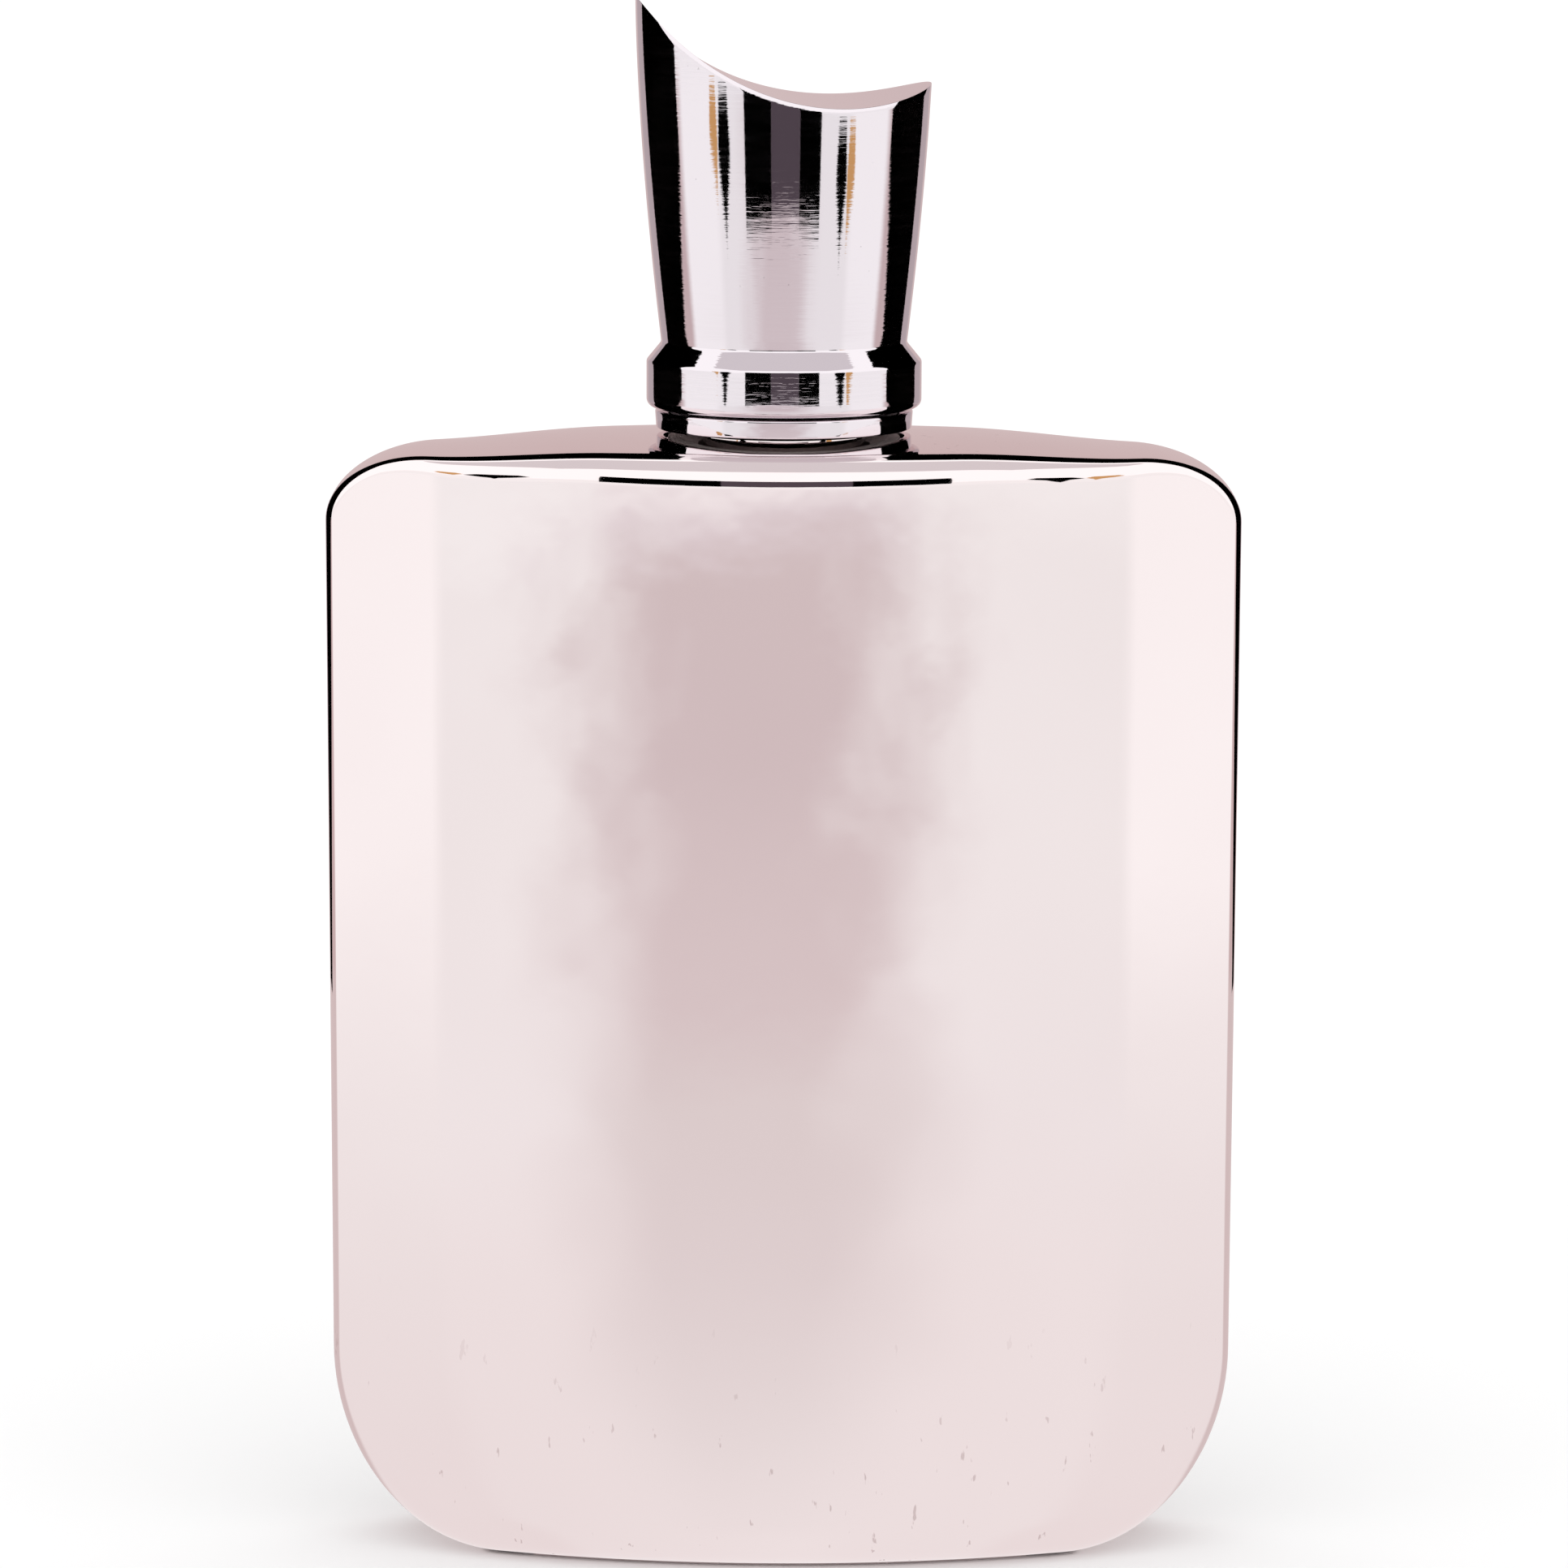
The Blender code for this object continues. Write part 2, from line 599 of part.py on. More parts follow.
def make_dip_tube(plastic):
    """The dip tube pushes into the housing tail and curves gently towards one lower corner."""
    builder = bmesh.new()
    top = 81.6 * MM
    bore = 0.9 * MM
    drift = 9.0 * MM
    stations = 10
    outer, inner = [], []
    for station in range(stations + 1):
        t = station / stations
        z = top + (DIP_TUBE_FOOT_Z - top) * t
        bend = max(0.0, (t - 0.1) / 0.9)
        x = drift * bend ** 2
        slope = math.atan2(2.0 * drift * bend, (top - DIP_TUBE_FOOT_Z) * 0.9)
        for radius, rings in ((DIP_TUBE_RADIUS, outer), (bore, inner)):
            ring = []
            for step in range(ROUND_SMALL):
                angle = 2.0 * math.pi * step / ROUND_SMALL
                across = radius * math.cos(angle)
                point = (x + across * math.cos(slope), radius * math.sin(angle), z + across * math.sin(slope))
                ring.append(builder.verts.new(point))
            rings.append(ring)
    skins = outer + inner[::-1]
    for first, second in zip(skins, skins[1:] + skins[:1]):
        for step in range(ROUND_SMALL):
            after = (step + 1) % ROUND_SMALL
            builder.faces.new((first[step], second[step], second[after], first[after]))
    add_object("dip_tube", builder, plastic)


# ---------------------------------------------------------------- spray head

def radial_rod(radius, near, far, height, segments):
    """A rod along -Y from the pump axis, between two distances from it."""
    builder = bmesh.new()
    place = Matrix.Translation((0.0, -0.5 * (near + far), height)) @ Matrix.Rotation(math.radians(90.0), 4, 'X')
    bmesh.ops.create_cone(builder, cap_ends=True, segments=segments, radius1=radius, radius2=radius,
                          depth=far - near, matrix=place)
    return builder


def make_head(metal, plastic, insert, parent):
    wall = 0.35 * MM
    inner = HEAD_RADIUS - wall
    profile = [(0.0, HEAD_TOP_Z - 0.35 * MM)]
    profile += [(4.4 * MM, HEAD_TOP_Z - 0.12 * MM)]
    profile += arc_points((HEAD_RADIUS - 0.6 * MM, HEAD_TOP_Z - 0.6 * MM), 0.6 * MM, 90, 0, 4)
    profile += [(HEAD_RADIUS, HEAD_FOOT_Z), (inner, HEAD_FOOT_Z), (inner, HEAD_TOP_Z - 0.85 * MM),
                (0.0, HEAD_TOP_Z - 0.85 * MM)]
    shell = add_object("actuator_shell", turned(profile, ROUND_LARGE), metal, parent)
    hole = add_object("nozzle_hole_guide", radial_rod(1.7 * MM, 4.0 * MM, 8.0 * MM, NOZZLE_Z, 24), metal)
    boolean(shell, hole, 'DIFFERENCE')

    top = HEAD_TOP_Z - 1.05 * MM
    skirt = inner - 0.15 * MM
    core_profile = [(0.0, top), (skirt, top), (skirt, HEAD_FOOT_Z + 0.4 * MM),
                    (skirt - 0.6 * MM, HEAD_FOOT_Z + 0.4 * MM), (skirt - 0.6 * MM, top - 0.8 * MM),
                    (2.7 * MM, top - 0.8 * MM), (2.7 * MM, HEAD_FOOT_Z + 0.2 * MM),
                    (1.62 * MM, HEAD_FOOT_Z + 0.2 * MM), (1.62 * MM, 109.1 * MM), (0.6 * MM, 109.3 * MM),
                    (0.6 * MM, 110.3 * MM), (0.0, 110.3 * MM)]
    core = add_object("actuator_core", turned(core_profile, ROUND_LARGE), plastic, parent)
    arm = add_object("nozzle_arm_guide", radial_rod(2.2 * MM, 2.2 * MM, 5.3 * MM, NOZZLE_Z, 24), plastic)
    boolean(core, arm, 'UNION')
    pocket = add_object("nozzle_pocket_guide", radial_rod(1.7 * MM, 4.0 * MM, 8.0 * MM, NOZZLE_Z, 24), plastic)
    boolean(core, pocket, 'DIFFERENCE')
    channel = add_object("channel_guide", radial_rod(0.35 * MM, 0.2 * MM, 4.6 * MM, NOZZLE_Z + 0.4 * MM, 12),
                         plastic)
    boolean(core, channel, 'DIFFERENCE')

    nozzle = add_object("nozzle_insert", radial_rod(1.5 * MM, 4.2 * MM, 5.95 * MM, NOZZLE_Z, 24), insert, parent)
    orifice = add_object("orifice_guide", radial_rod(0.3 * MM, 5.2 * MM, 7.0 * MM, NOZZLE_Z, 10), insert)
    boolean(nozzle, orifice, 'DIFFERENCE')


def main():
    clear_scene()
    mirror_glass = make_material("metallised_glass", (0.82, 0.76, 0.76), 0.04, 1.0)
    chrome = make_material("polished_chrome", (0.80, 0.77, 0.79), 0.05, 1.0)
    aluminium = make_material("aluminium", (0.78, 0.78, 0.79), 0.3, 1.0)
    steel = make_material("spring_steel", (0.6, 0.6, 0.62), 0.25, 1.0)
    white = make_material("white_plastic", (0.86, 0.86, 0.84), 0.4, 0.0)
    clear = make_material("natural_plastic", (0.8, 0.82, 0.82), 0.3, 0.0)
    grey = make_material("grey_rubber", (0.25, 0.25, 0.26), 0.7, 0.0)

    make_bottle(mirror_glass)
    make_collar(chrome, white)
    make_crimp(aluminium, grey)
    make_housing(clear)
    make_guide(white, grey)
    make_dip_tube(clear)
    make_spring("return_spring", steel, (SPRING_SEAT_Z + 0.3 * MM, 92.8 * MM), 2.35 * MM, 0.2 * MM, 5.0)

    stem_axis = add_joint_empty("stem_axis", SPRING_SEAT_Z)
    make_stem(white, clear, steel, stem_axis)
    head_axis = add_joint_empty("head_axis", HEAD_FOOT_Z)
    make_head(chrome, white, grey, head_axis)
    ball_axis = add_joint_empty("ball_axis", 84.4 * MM)
    make_check_ball(steel, ball_axis)
    cap_axis = add_joint_empty("cap_axis", CAP_FOOT_Z)
    make_cap(chrome, white, cap_axis)


main()
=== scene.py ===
"""Looks for the flask-shaped perfume atomiser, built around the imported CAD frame.

Units are metres, +Z is up, the front faces -Y. Pieces that are highly polished get finer meshes of the same
shape as their CAD nodes, because a mirror shows every facet.
"""
import math

import bmesh
import bpy
from mathutils import Matrix, Vector


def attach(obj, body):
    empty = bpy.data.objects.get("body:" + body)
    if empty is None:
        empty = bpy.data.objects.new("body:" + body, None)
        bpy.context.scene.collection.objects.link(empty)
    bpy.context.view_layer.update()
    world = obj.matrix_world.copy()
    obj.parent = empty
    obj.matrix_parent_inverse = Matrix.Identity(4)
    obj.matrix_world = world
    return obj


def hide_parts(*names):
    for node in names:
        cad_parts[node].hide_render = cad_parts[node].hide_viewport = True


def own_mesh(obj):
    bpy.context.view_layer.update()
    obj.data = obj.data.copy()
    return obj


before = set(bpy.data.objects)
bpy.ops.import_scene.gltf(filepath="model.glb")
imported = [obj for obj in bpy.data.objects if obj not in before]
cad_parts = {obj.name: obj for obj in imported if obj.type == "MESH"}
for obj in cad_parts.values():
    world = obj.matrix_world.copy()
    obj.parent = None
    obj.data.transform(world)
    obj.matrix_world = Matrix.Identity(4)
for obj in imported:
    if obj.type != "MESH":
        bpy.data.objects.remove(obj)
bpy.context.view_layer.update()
MM = 0.001
TINY = 1e-9
NEARLY_STRAIGHT = math.radians(168)

# ---------------------------------------------------------------- sizes, as in the CAD model
HALF_WIDTH = 37.0 * MM
BOTTOM_TAPER = 0.35 * MM             # on each side, from shoulder to foot
SHOULDER_Z = 90.32 * MM
SHOULDER_SAG = 0.6 * MM              # how far the shoulder falls to the corners
SAG_SPAN = (14.0 * MM, 28.5 * MM)    # the part of the half width over which it falls
SHOULDER_CROWN_RADIUS = 100.0 * MM   # dome of the shoulder, front to back
TOP_CORNER = (8.5 * MM, 5.6 * MM)    # corner sizes are across, upright
BOTTOM_CORNER = (13.5 * MM, 16.0 * MM)
FOOT_HEIGHT = 0.25 * MM
FOOT_HALF_WIDTH = 22.5 * MM
FOOT_INSET = 3.0 * MM                # from the body's face back to the edge of the pad
HALF_THICKNESS = 14.35 * MM
FACE_RADIUS = 66.0 * MM
CREASE_X = 28.3 * MM                 # where the bulged face meets the flatter margin
CREASE_SOFTNESS = 0.5 * MM
MARGIN_ANGLE = math.radians(31.0)
MARGIN_RADIUS = 200.0 * MM
EDGE_RADIUS = 2.1 * MM               # at the middle; it shrinks with the body's thickness
SIDE_EDGE_SHARE = 0.37               # smallest share of the rounding that stays at the sides
BOTTOM_EDGE_RADIUS = 3.2 * MM
THIN_EDGE = 0.3 * MM                 # half thickness left between the two roundings
FACE_WALL = 3.3 * MM
SIDE_WALL = 4.2 * MM
BASE_WALL = 7.0 * MM
TOP_WALL = 4.8 * MM
NECK_RADIUS = 6.55 * MM
BEAD_RADIUS = 7.3 * MM
BORE_RADIUS = 4.75 * MM
NECK_TOP_Z = 98.9 * MM
BEAD_TOP_ROUND = 0.7 * MM
BEAD_LOW_ROUND = 0.5 * MM
BEAD_LOW_Z = 96.0 * MM
BEAD_FOOT_Z = 95.2 * MM
NECK_FLARE = 1.3 * MM
NECK_FLARE_Z = 91.2 * MM
NECK_ROOT_Z = 89.0 * MM
BORE_BEVEL = 0.2 * MM
THROAT_FLARE = 2.4 * MM              # how far the bore widens into the chamber

CAP_FOOT_Z = 93.25 * MM
CAP_TIP_Z = 126.6 * MM
RING_RADIUS = 11.11 * MM
RING_TOP_Z = 97.05 * MM
CONE_FOOT_RADIUS = 9.92 * MM
CONE_FOOT_Z = 98.5 * MM
CONE_TOP_RADIUS = 12.03 * MM
CAP_BORE = 9.35 * MM
CAP_CAVITY_TOP_Z = 114.6 * MM
CAP_TURN = math.radians(5.0)         # the high tip's turn about the axis
CAP_FOOT_BEVEL = 0.15 * MM
RING_CORNER = 0.7 * MM
CONE_CURVE = 1.62                    # exponent of the flare
RIM_ROUND = 0.04 * MM
RIM_INSET = 0.05 * MM
SCOOP_RADIUS = 19.77 * MM
SCOOP_LOW_Z = 117.85 * MM
SCOOP_LOW_U = 4.17 * MM

COLLAR_FOOT_Z = 91.55 * MM
COLLAR_TOP_Z = 106.4 * MM
COLLAR_TUBE_RADIUS = 8.5 * MM
COLLAR_SHEET = 0.6 * MM
COLLAR_FLANGE_RADIUS = 10.42 * MM
COLLAR_FOOT_RADIUS = 10.32 * MM
COLLAR_BORE = 9.72 * MM
COLLAR_STEP = (92.4 * MM, 92.9 * MM)  # where the inside narrows from flange to tube
COLLAR_GAP = 0.2 * MM                # between the flange and the cap
HEAD_RADIUS = 6.15 * MM
HEAD_CLEARANCE = 0.3 * MM
SPRING_SPAN = (86.7 * MM, 92.8 * MM)
SPRING_RADIUS = 2.35 * MM
SPRING_WIRE = 0.2 * MM
SPRING_TURNS = 5.0

# ---------------------------------------------------------------- angles, camera and studio
BODY_SHARP = 50.0                    # degrees over which an edge stays sharp
TURNED_SHARP = 42.0
SPRING_SHARP = 60.0

CAMERA_PITCH = math.radians(8.2)     # looking down
CAMERA_ROLL = math.radians(0.18)
CAMERA_REACH = 0.650
CAMERA_LENS = 183.4
CAMERA_X = 0.1 * MM
TARGET_Z = 0.0624

REAR_COLOUR = (0.65, 0.515, 0.515)
TABLE_BEHIND_COLOUR = (0.72, 0.62, 0.62)
LENS_DISTANCE = 0.11
LENS_HEIGHTS = (0.083, 0.114)


# ---------------------------------------------------------------- small node helpers

def new_material(name):
    material = bpy.data.materials.new(name)
    material.use_nodes = True
    tree = material.node_tree
    return material, tree, tree.nodes["Principled BSDF"]


def add_node(tree, kind, **inputs):
    node = tree.nodes.new(kind)
    for key, value in inputs.items():
        node.inputs[key.replace("_", " ")].default_value = value
    return node


def noise(tree, source, scale, detail=2.0, roughness=0.5, stretch=(1.0, 1.0, 1.0)):
    """A noise texture in object space; stretch squeezes it along the axes."""
    mapping = tree.nodes.new("ShaderNodeMapping")
    mapping.inputs["Scale"].default_value = stretch
    tree.links.new(source, mapping.inputs["Vector"])
    texture = add_node(tree, "ShaderNodeTexNoise", Scale=scale, Detail=detail, Roughness=roughness)
    tree.links.new(mapping.outputs["Vector"], texture.inputs["Vector"])
    return texture


def ramp(tree, source, stops):
    """A colour ramp; stops are (position, colour) with three-part colours."""
    node = tree.nodes.new("ShaderNodeValToRGB")
    elements = node.color_ramp.elements
    while len(elements) < len(stops):
        elements.new(0.5)
    for element, (position, colour) in zip(elements, stops):
        element.position = position
        element.color = (*colour, 1.0)
    tree.links.new(source, node.inputs["Fac"])
    return node


def math_node(tree, operation, first, second=None, clamp=False):
    node = tree.nodes.new("ShaderNodeMath")
    node.operation = operation
    node.use_clamp = clamp
    for index, value in enumerate((first, second)):
        if value is None:
            continue
        if isinstance(value, (int, float)):
            node.inputs[index].default_value = value
        else:
            tree.links.new(value, node.inputs[index])
    return node.outputs["Value"]


def map_range(tree, value, low, high, to_low=0.0, to_high=1.0):
    node = tree.nodes.new("ShaderNodeMapRange")
    node.interpolation_type = 'SMOOTHSTEP'
    node.inputs["From Min"].default_value = low
    node.inputs["From Max"].default_value = high
    node.inputs["To Min"].default_value = to_low
    node.inputs["To Max"].default_value = to_high
    tree.links.new(value, node.inputs["Value"])
    return node.outputs["Result"]


def mix_colour(tree, factor, first, second):
    node = tree.nodes.new("ShaderNodeMix")
    node.data_type = 'RGBA'
    for name, value in (("Factor", factor), ("A", first), ("B", second)):
        socket = node.inputs[name]
        if isinstance(value, (int, float)):
            socket.default_value = value
        elif isinstance(value, tuple):
            socket.default_value = (*value, 1.0)
        else:
            tree.links.new(value, socket)
    return node.outputs["Result"]


def object_coordinates(tree):
    return tree.nodes.new("ShaderNodeTexCoord").outputs["Object"]


def split_axes(tree, source):
    node = tree.nodes.new("ShaderNodeSeparateXYZ")
    tree.links.new(source, node.inputs["Vector"])
    return node


def two_tone(tree, shader, factor, stops, colour, shade):
    """Colour that drifts between a darker shade and the colour itself."""
    darker = tuple(part * shade for part in colour)
    blend = ramp(tree, factor, ((stops[0], darker), (stops[1], colour)))
    tree.links.new(blend.outputs["Color"], shader.inputs["Base Color"])


def bump(tree, shader, heights):
    """Chain bumps; heights are (output, distance in metres) pairs."""
    previous = None
    for output, distance in heights:
        node = tree.nodes.new("ShaderNodeBump")
        node.inputs["Strength"].default_value = 1.0
        node.inputs["Distance"].default_value = distance
        tree.links.new(output, node.inputs["Height"])
        if previous is not None:
            tree.links.new(previous, node.inputs["Normal"])
        previous = node.outputs["Normal"]
    tree.links.new(previous, shader.inputs["Normal"])


# ---------------------------------------------------------------- materials

def metallised_glass():
    """Mirror coating on glass: faintly pink, slightly uneven, with fine marks near the shoulder and foot."""
    material, tree, shader = new_material("metallised_glass_look")
    place = object_coordinates(tree)
    split = split_axes(tree, place)
    cloud = noise(tree, place, 38.0, 2.0, 0.5).outputs["Fac"]
    coat = ramp(tree, cloud, ((0.3, (0.865, 0.778, 0.778)), (0.7, (0.885, 0.802, 0.802))))
    specks = noise(tree, place, 900.0, 3.0, 0.6, (1.0, 1.0, 0.35)).outputs["Fac"]
    speck_mask = map_range(tree, specks, 0.67, 0.71)
    low_zone = map_range(tree, split.outputs["Z"], 0.024, 0.006)
    high_zone = map_range(tree, split.outputs["Z"], 0.0895, 0.0915)
    right_side = map_range(tree, split.outputs["X"], 0.0, 0.02)
    worn = math_node(tree, 'MAXIMUM', low_zone, math_node(tree, 'MULTIPLY', high_zone, right_side))
    mark = math_node(tree, 'MULTIPLY', speck_mask, worn)
    bare = (0.42, 0.31, 0.31)
    colour = mix_colour(tree, math_node(tree, 'MULTIPLY', mark, 0.5), coat.outputs["Color"], bare)
    tree.links.new(colour, shader.inputs["Base Color"])
    shader.inputs["Metallic"].default_value = 1.0
    rough = math_node(tree, 'ADD', math_node(tree, 'MULTIPLY', mark, 0.2), 0.03)
    tree.links.new(rough, shader.inputs["Roughness"])
    wave = noise(tree, place, 55.0, 1.0, 0.4).outputs["Fac"]
    peel = noise(tree, place, 420.0, 1.0, 0.4).outputs["Fac"]
    bump(tree, shader, ((wave, 0.00012), (peel, 0.000004)))
    return material


def plated(name, tint, lathe_depth):
    """Bright plating over turned metal: faint lathe lines around the axis, pits and small waves."""
    material, tree, shader = new_material(name)
    place = object_coordinates(tree)
    lines = noise(tree, place, 900.0, 3.0, 0.6, (0.25, 0.25, 4.0)).outputs["Fac"]
    pits = noise(tree, place, 1500.0, 2.0, 0.6).outputs["Fac"]
    pit_mask = map_range(tree, pits, 0.74, 0.8)
    dark = tuple(part * 0.55 for part in tint)
    colour = mix_colour(tree, math_node(tree, 'MULTIPLY', pit_mask, 0.5), tint, dark)
    tree.links.new(colour, shader.inputs["Base Color"])
    shader.inputs["Metallic"].default_value = 1.0
    rough = map_range(tree, lines, 0.35, 0.7, 0.025, 0.06)
    tree.links.new(rough, shader.inputs["Roughness"])
    ripple = noise(tree, place, 260.0, 2.0, 0.5, (1.0, 1.0, 2.5)).outputs["Fac"]
    bump(tree, shader, ((lines, lathe_depth), (ripple, 0.0000035)))
    return material


def moulded(name, colour, roughness, see_through=0.0):
    """Moulded plastic with a fine surface grain and slight colour variation."""
    material, tree, shader = new_material(name)
    place = object_coordinates(tree)
    cloud = noise(tree, place, 220.0, 3.0, 0.6).outputs["Fac"]
    two_tone(tree, shader, cloud, (0.3, 0.7), colour, 0.9)
    grain = noise(tree, place, 2500.0, 2.0, 0.6).outputs["Fac"]
    rough = map_range(tree, grain, 0.3, 0.7, roughness - 0.05, roughness + 0.08)
    tree.links.new(rough, shader.inputs["Roughness"])
    shader.inputs["Transmission Weight"].default_value = see_through
    shader.inputs["IOR"].default_value = 1.5
    bump(tree, shader, ((grain, 0.000006),))
    return material


def drawn_metal(name, colour, roughness):
    """Bare drawn metal with fine streaks around the axis."""
    material, tree, shader = new_material(name)
    place = object_coordinates(tree)
    streaks = noise(tree, place, 350.0, 3.0, 0.6, (0.3, 0.3, 4.0)).outputs["Fac"]
    two_tone(tree, shader, streaks, (0.3, 0.7), colour, 0.8)
    shader.inputs["Metallic"].default_value = 1.0
    rough = map_range(tree, streaks, 0.3, 0.7, roughness, roughness + 0.12)
    tree.links.new(rough, shader.inputs["Roughness"])
    bump(tree, shader, ((streaks, 0.000008),))
    return material


def rubber(name, colour):
    """Dull rubber with a clouded colour."""
    material, tree, shader = new_material(name)
    place = object_coordinates(tree)
    cloud = noise(tree, place, 900.0, 4.0, 0.65).outputs["Fac"]
    two_tone(tree, shader, cloud, (0.35, 0.65), colour, 0.7)
    tree.links.new(map_range(tree, cloud, 0.3, 0.7, 0.6, 0.85), shader.inputs["Roughness"])
    bump(tree, shader, ((cloud, 0.00001),))
    return material


# ---------------------------------------------------------------- shapes

def finish_mesh(name, builder, material, sharp_degrees):
    """Turn a bmesh into a smooth-shaded object whose real corners stay sharp."""
    mesh = bpy.data.meshes.new(name)
    bmesh.ops.recalc_face_normals(builder, faces=builder.faces)
    builder.to_mesh(mesh)
    builder.free()
    mesh.materials.append(material)
    mesh.shade_smooth()
    mesh.set_sharp_from_angle(angle=math.radians(sharp_degrees))
    item = bpy.data.objects.new(name, mesh)
    bpy.context.collection.objects.link(item)
    return item


def bridge(builder, rings):
    """Join each closed ring of vertices to the next one with quads."""
    for first, second in zip(rings, rings[1:]):
        count = len(first)
        for index in range(count):
            after = (index + 1) % count
            builder.faces.new((first[index], first[after], second[after], second[index]))


def arc_points(centre, radius, start, end, steps):
    """Points on an arc; the angles are in degrees."""
    points = []
    for step in range(steps + 1):
        angle = math.radians(start + (end - start) * step / steps)
        points.append((centre[0] + radius * math.cos(angle), centre[1] + radius * math.sin(angle)))
    return points


def softened(profile, radius, steps=4):
    """Round every corner of a closed (radius, height) profile that isn't on the axis."""
    result = []
    count = len(profile)
    for index, point in enumerate(profile):
        here = Vector(point)
        before = Vector(profile[index - 1]) - here
        after = Vector(profile[(index + 1) % count]) - here
        reach = min(radius, before.length * 0.4, after.length * 0.4)
        shortest = min(point[0], before.length, after.length)
        if shortest < TINY or before.angle(after) > NEARLY_STRAIGHT:
            result.append(tuple(here))
            continue
        start = here + before.normalized() * reach
        end = here + after.normalized() * reach
        for step in range(steps + 1):
            t = step / steps
            blend = start.lerp(here, t).lerp(here.lerp(end, t), t)
            result.append(tuple(blend))
    return result


def turned(profile, segments):
    """Spin a closed profile of (radius, height) points about the vertical axis; radius 0 becomes a pole."""
    builder = bmesh.new()
    rings = []
    for radius, height in profile:
        if radius < TINY:
            rings.append([builder.verts.new((0.0, 0.0, height))])
            continue
        ring = []
        for step in range(segments):
            angle = 2.0 * math.pi * step / segments
            ring.append(builder.verts.new((radius * math.cos(angle), radius * math.sin(angle), height)))
        rings.append(ring)
    for first, second in zip(rings, rings[1:] + rings[:1]):
        if len(first) == 1 and len(second) == 1:
            continue
        for step in range(segments):
            after = (step + 1) % segments
            if len(first) == 1:
                builder.faces.new((first[0], second[step], second[after]))
            elif len(second) == 1:
                builder.faces.new((first[step], second[0], first[after]))
            else:
                builder.faces.new((first[step], second[step], second[after], first[after]))
    return builder


# ---------------------------------------------------------------- the glass body

def margin_fall(run):
    """How far the margin has fallen away at a distance outside the crease."""
    start = MARGIN_RADIUS * math.sin(MARGIN_ANGLE)
    fall = math.sqrt(MARGIN_RADIUS ** 2 - start ** 2)
    return fall - math.sqrt(MARGIN_RADIUS ** 2 - (start + run) ** 2)


def face_depth(x):
    """Half thickness of the body at a distance x from the middle, with a soft crease into the margins."""
    x = abs(x)
    slope = math.asin(CREASE_X / FACE_RADIUS)
    if x <= CREASE_X:
        depth = HALF_THICKNESS - (FACE_RADIUS - math.sqrt(FACE_RADIUS ** 2 - x ** 2))
    else:
        depth = HALF_THICKNESS - (FACE_RADIUS - math.sqrt(FACE_RADIUS ** 2 - CREASE_X ** 2))
        depth -= margin_fall(x - CREASE_X)
    off = abs(x - CREASE_X)
    if off < CREASE_SOFTNESS:
        bend = math.tan(MARGIN_ANGLE) - math.tan(slope)
        depth -= bend * (CREASE_SOFTNESS - off) ** 2 / (4.0 * CREASE_SOFTNESS)
    return depth


# The two closed hulls of the glass. "wall" is how far the faces lie inside the body's own faces, and "steps" are
# the mesh steps across, upright, per half corner and per rounded edge.
OUTSIDE = {
    "half": HALF_WIDTH, "low": FOOT_HEIGHT, "top": SHOULDER_Z - SHOULDER_SAG, "lift": SHOULDER_SAG,
    "top_corner": TOP_CORNER, "bottom_corner": BOTTOM_CORNER,
    "edge": EDGE_RADIUS, "bottom_edge": BOTTOM_EDGE_RADIUS,
    "wall": 0.0, "domed": True, "steps": (56, 40, 14, 12),
}
CHAMBER = {
    "half": HALF_WIDTH - SIDE_WALL, "low": BASE_WALL, "top": SHOULDER_Z - TOP_WALL, "lift": 0.0,
    "top_corner": (5.0 * MM, 5.0 * MM), "bottom_corner": (12.0 * MM, 11.0 * MM),
    "edge": 1.6 * MM, "bottom_edge": 3.5 * MM,
    "wall": FACE_WALL, "domed": False, "steps": (24, 12, 6, 4),
}


def outline(hull):
    """Front outline as four runs of points (bottom, right, top, left), each starting at a corner's middle."""
    def corner(centre_x, centre_z, size, start):
        points = []
        for step in range(2 * corner_steps + 1):
            angle = math.radians(start + 90.0 * step / (2 * corner_steps))
            points.append((centre_x + size[0] * math.cos(angle),
                           centre_z + size[1] * math.sin(angle)))
        return points

    def straight(first, last, count):
        inner = []
        for step in range(1, count):
            t = step / count
            inner.append((first[0] + (last[0] - first[0]) * t, first[1] + (last[1] - first[1]) * t))
        return inner

    across, upright, corner_steps = hull["steps"][:3]
    low, top_z = hull["low"], hull["top"]
    half = hull["half"]
    low_half = half - BOTTOM_TAPER * (1.0 - low / top_z)
    round_low, round_top = hull["bottom_corner"], hull["top_corner"]
    lower_left = corner(-low_half + round_low[0], low + round_low[1], round_low, 180.0)
    lower_right = corner(low_half - round_low[0], low + round_low[1], round_low, 270.0)
    upper_right = corner(half - round_top[0], top_z - round_top[1], round_top, 0.0)
    upper_left = corner(-half + round_top[0], top_z - round_top[1], round_top, 90.0)
    middle = corner_steps
    runs = []
    for first, second, count in ((lower_left, lower_right, across), (lower_right, upper_right, upright),
                                 (upper_right, upper_left, across), (upper_left, lower_left, upright)):
        runs.append(first[middle:] + straight(first[-1], second[0], count) + second[:middle])
    return [[(x, z + shoulder_lift(hull, x, z)) for x, z in run] for run in runs]


def shoulder_lift(hull, x, z):
    """How far the shoulder rises over its height at the corners."""
    if z < 0.5 * SHOULDER_Z:
        return 0.0
    t = min(1.0, max(0.0, (abs(x) - SAG_SPAN[0]) / (SAG_SPAN[1] - SAG_SPAN[0])))
    return hull["lift"] * (1.0 - t * t * (3.0 - 2.0 * t))


def hull_depth(hull, x):
    """Half thickness of a hull at a distance x from the middle."""
    return face_depth(x) - hull["wall"]


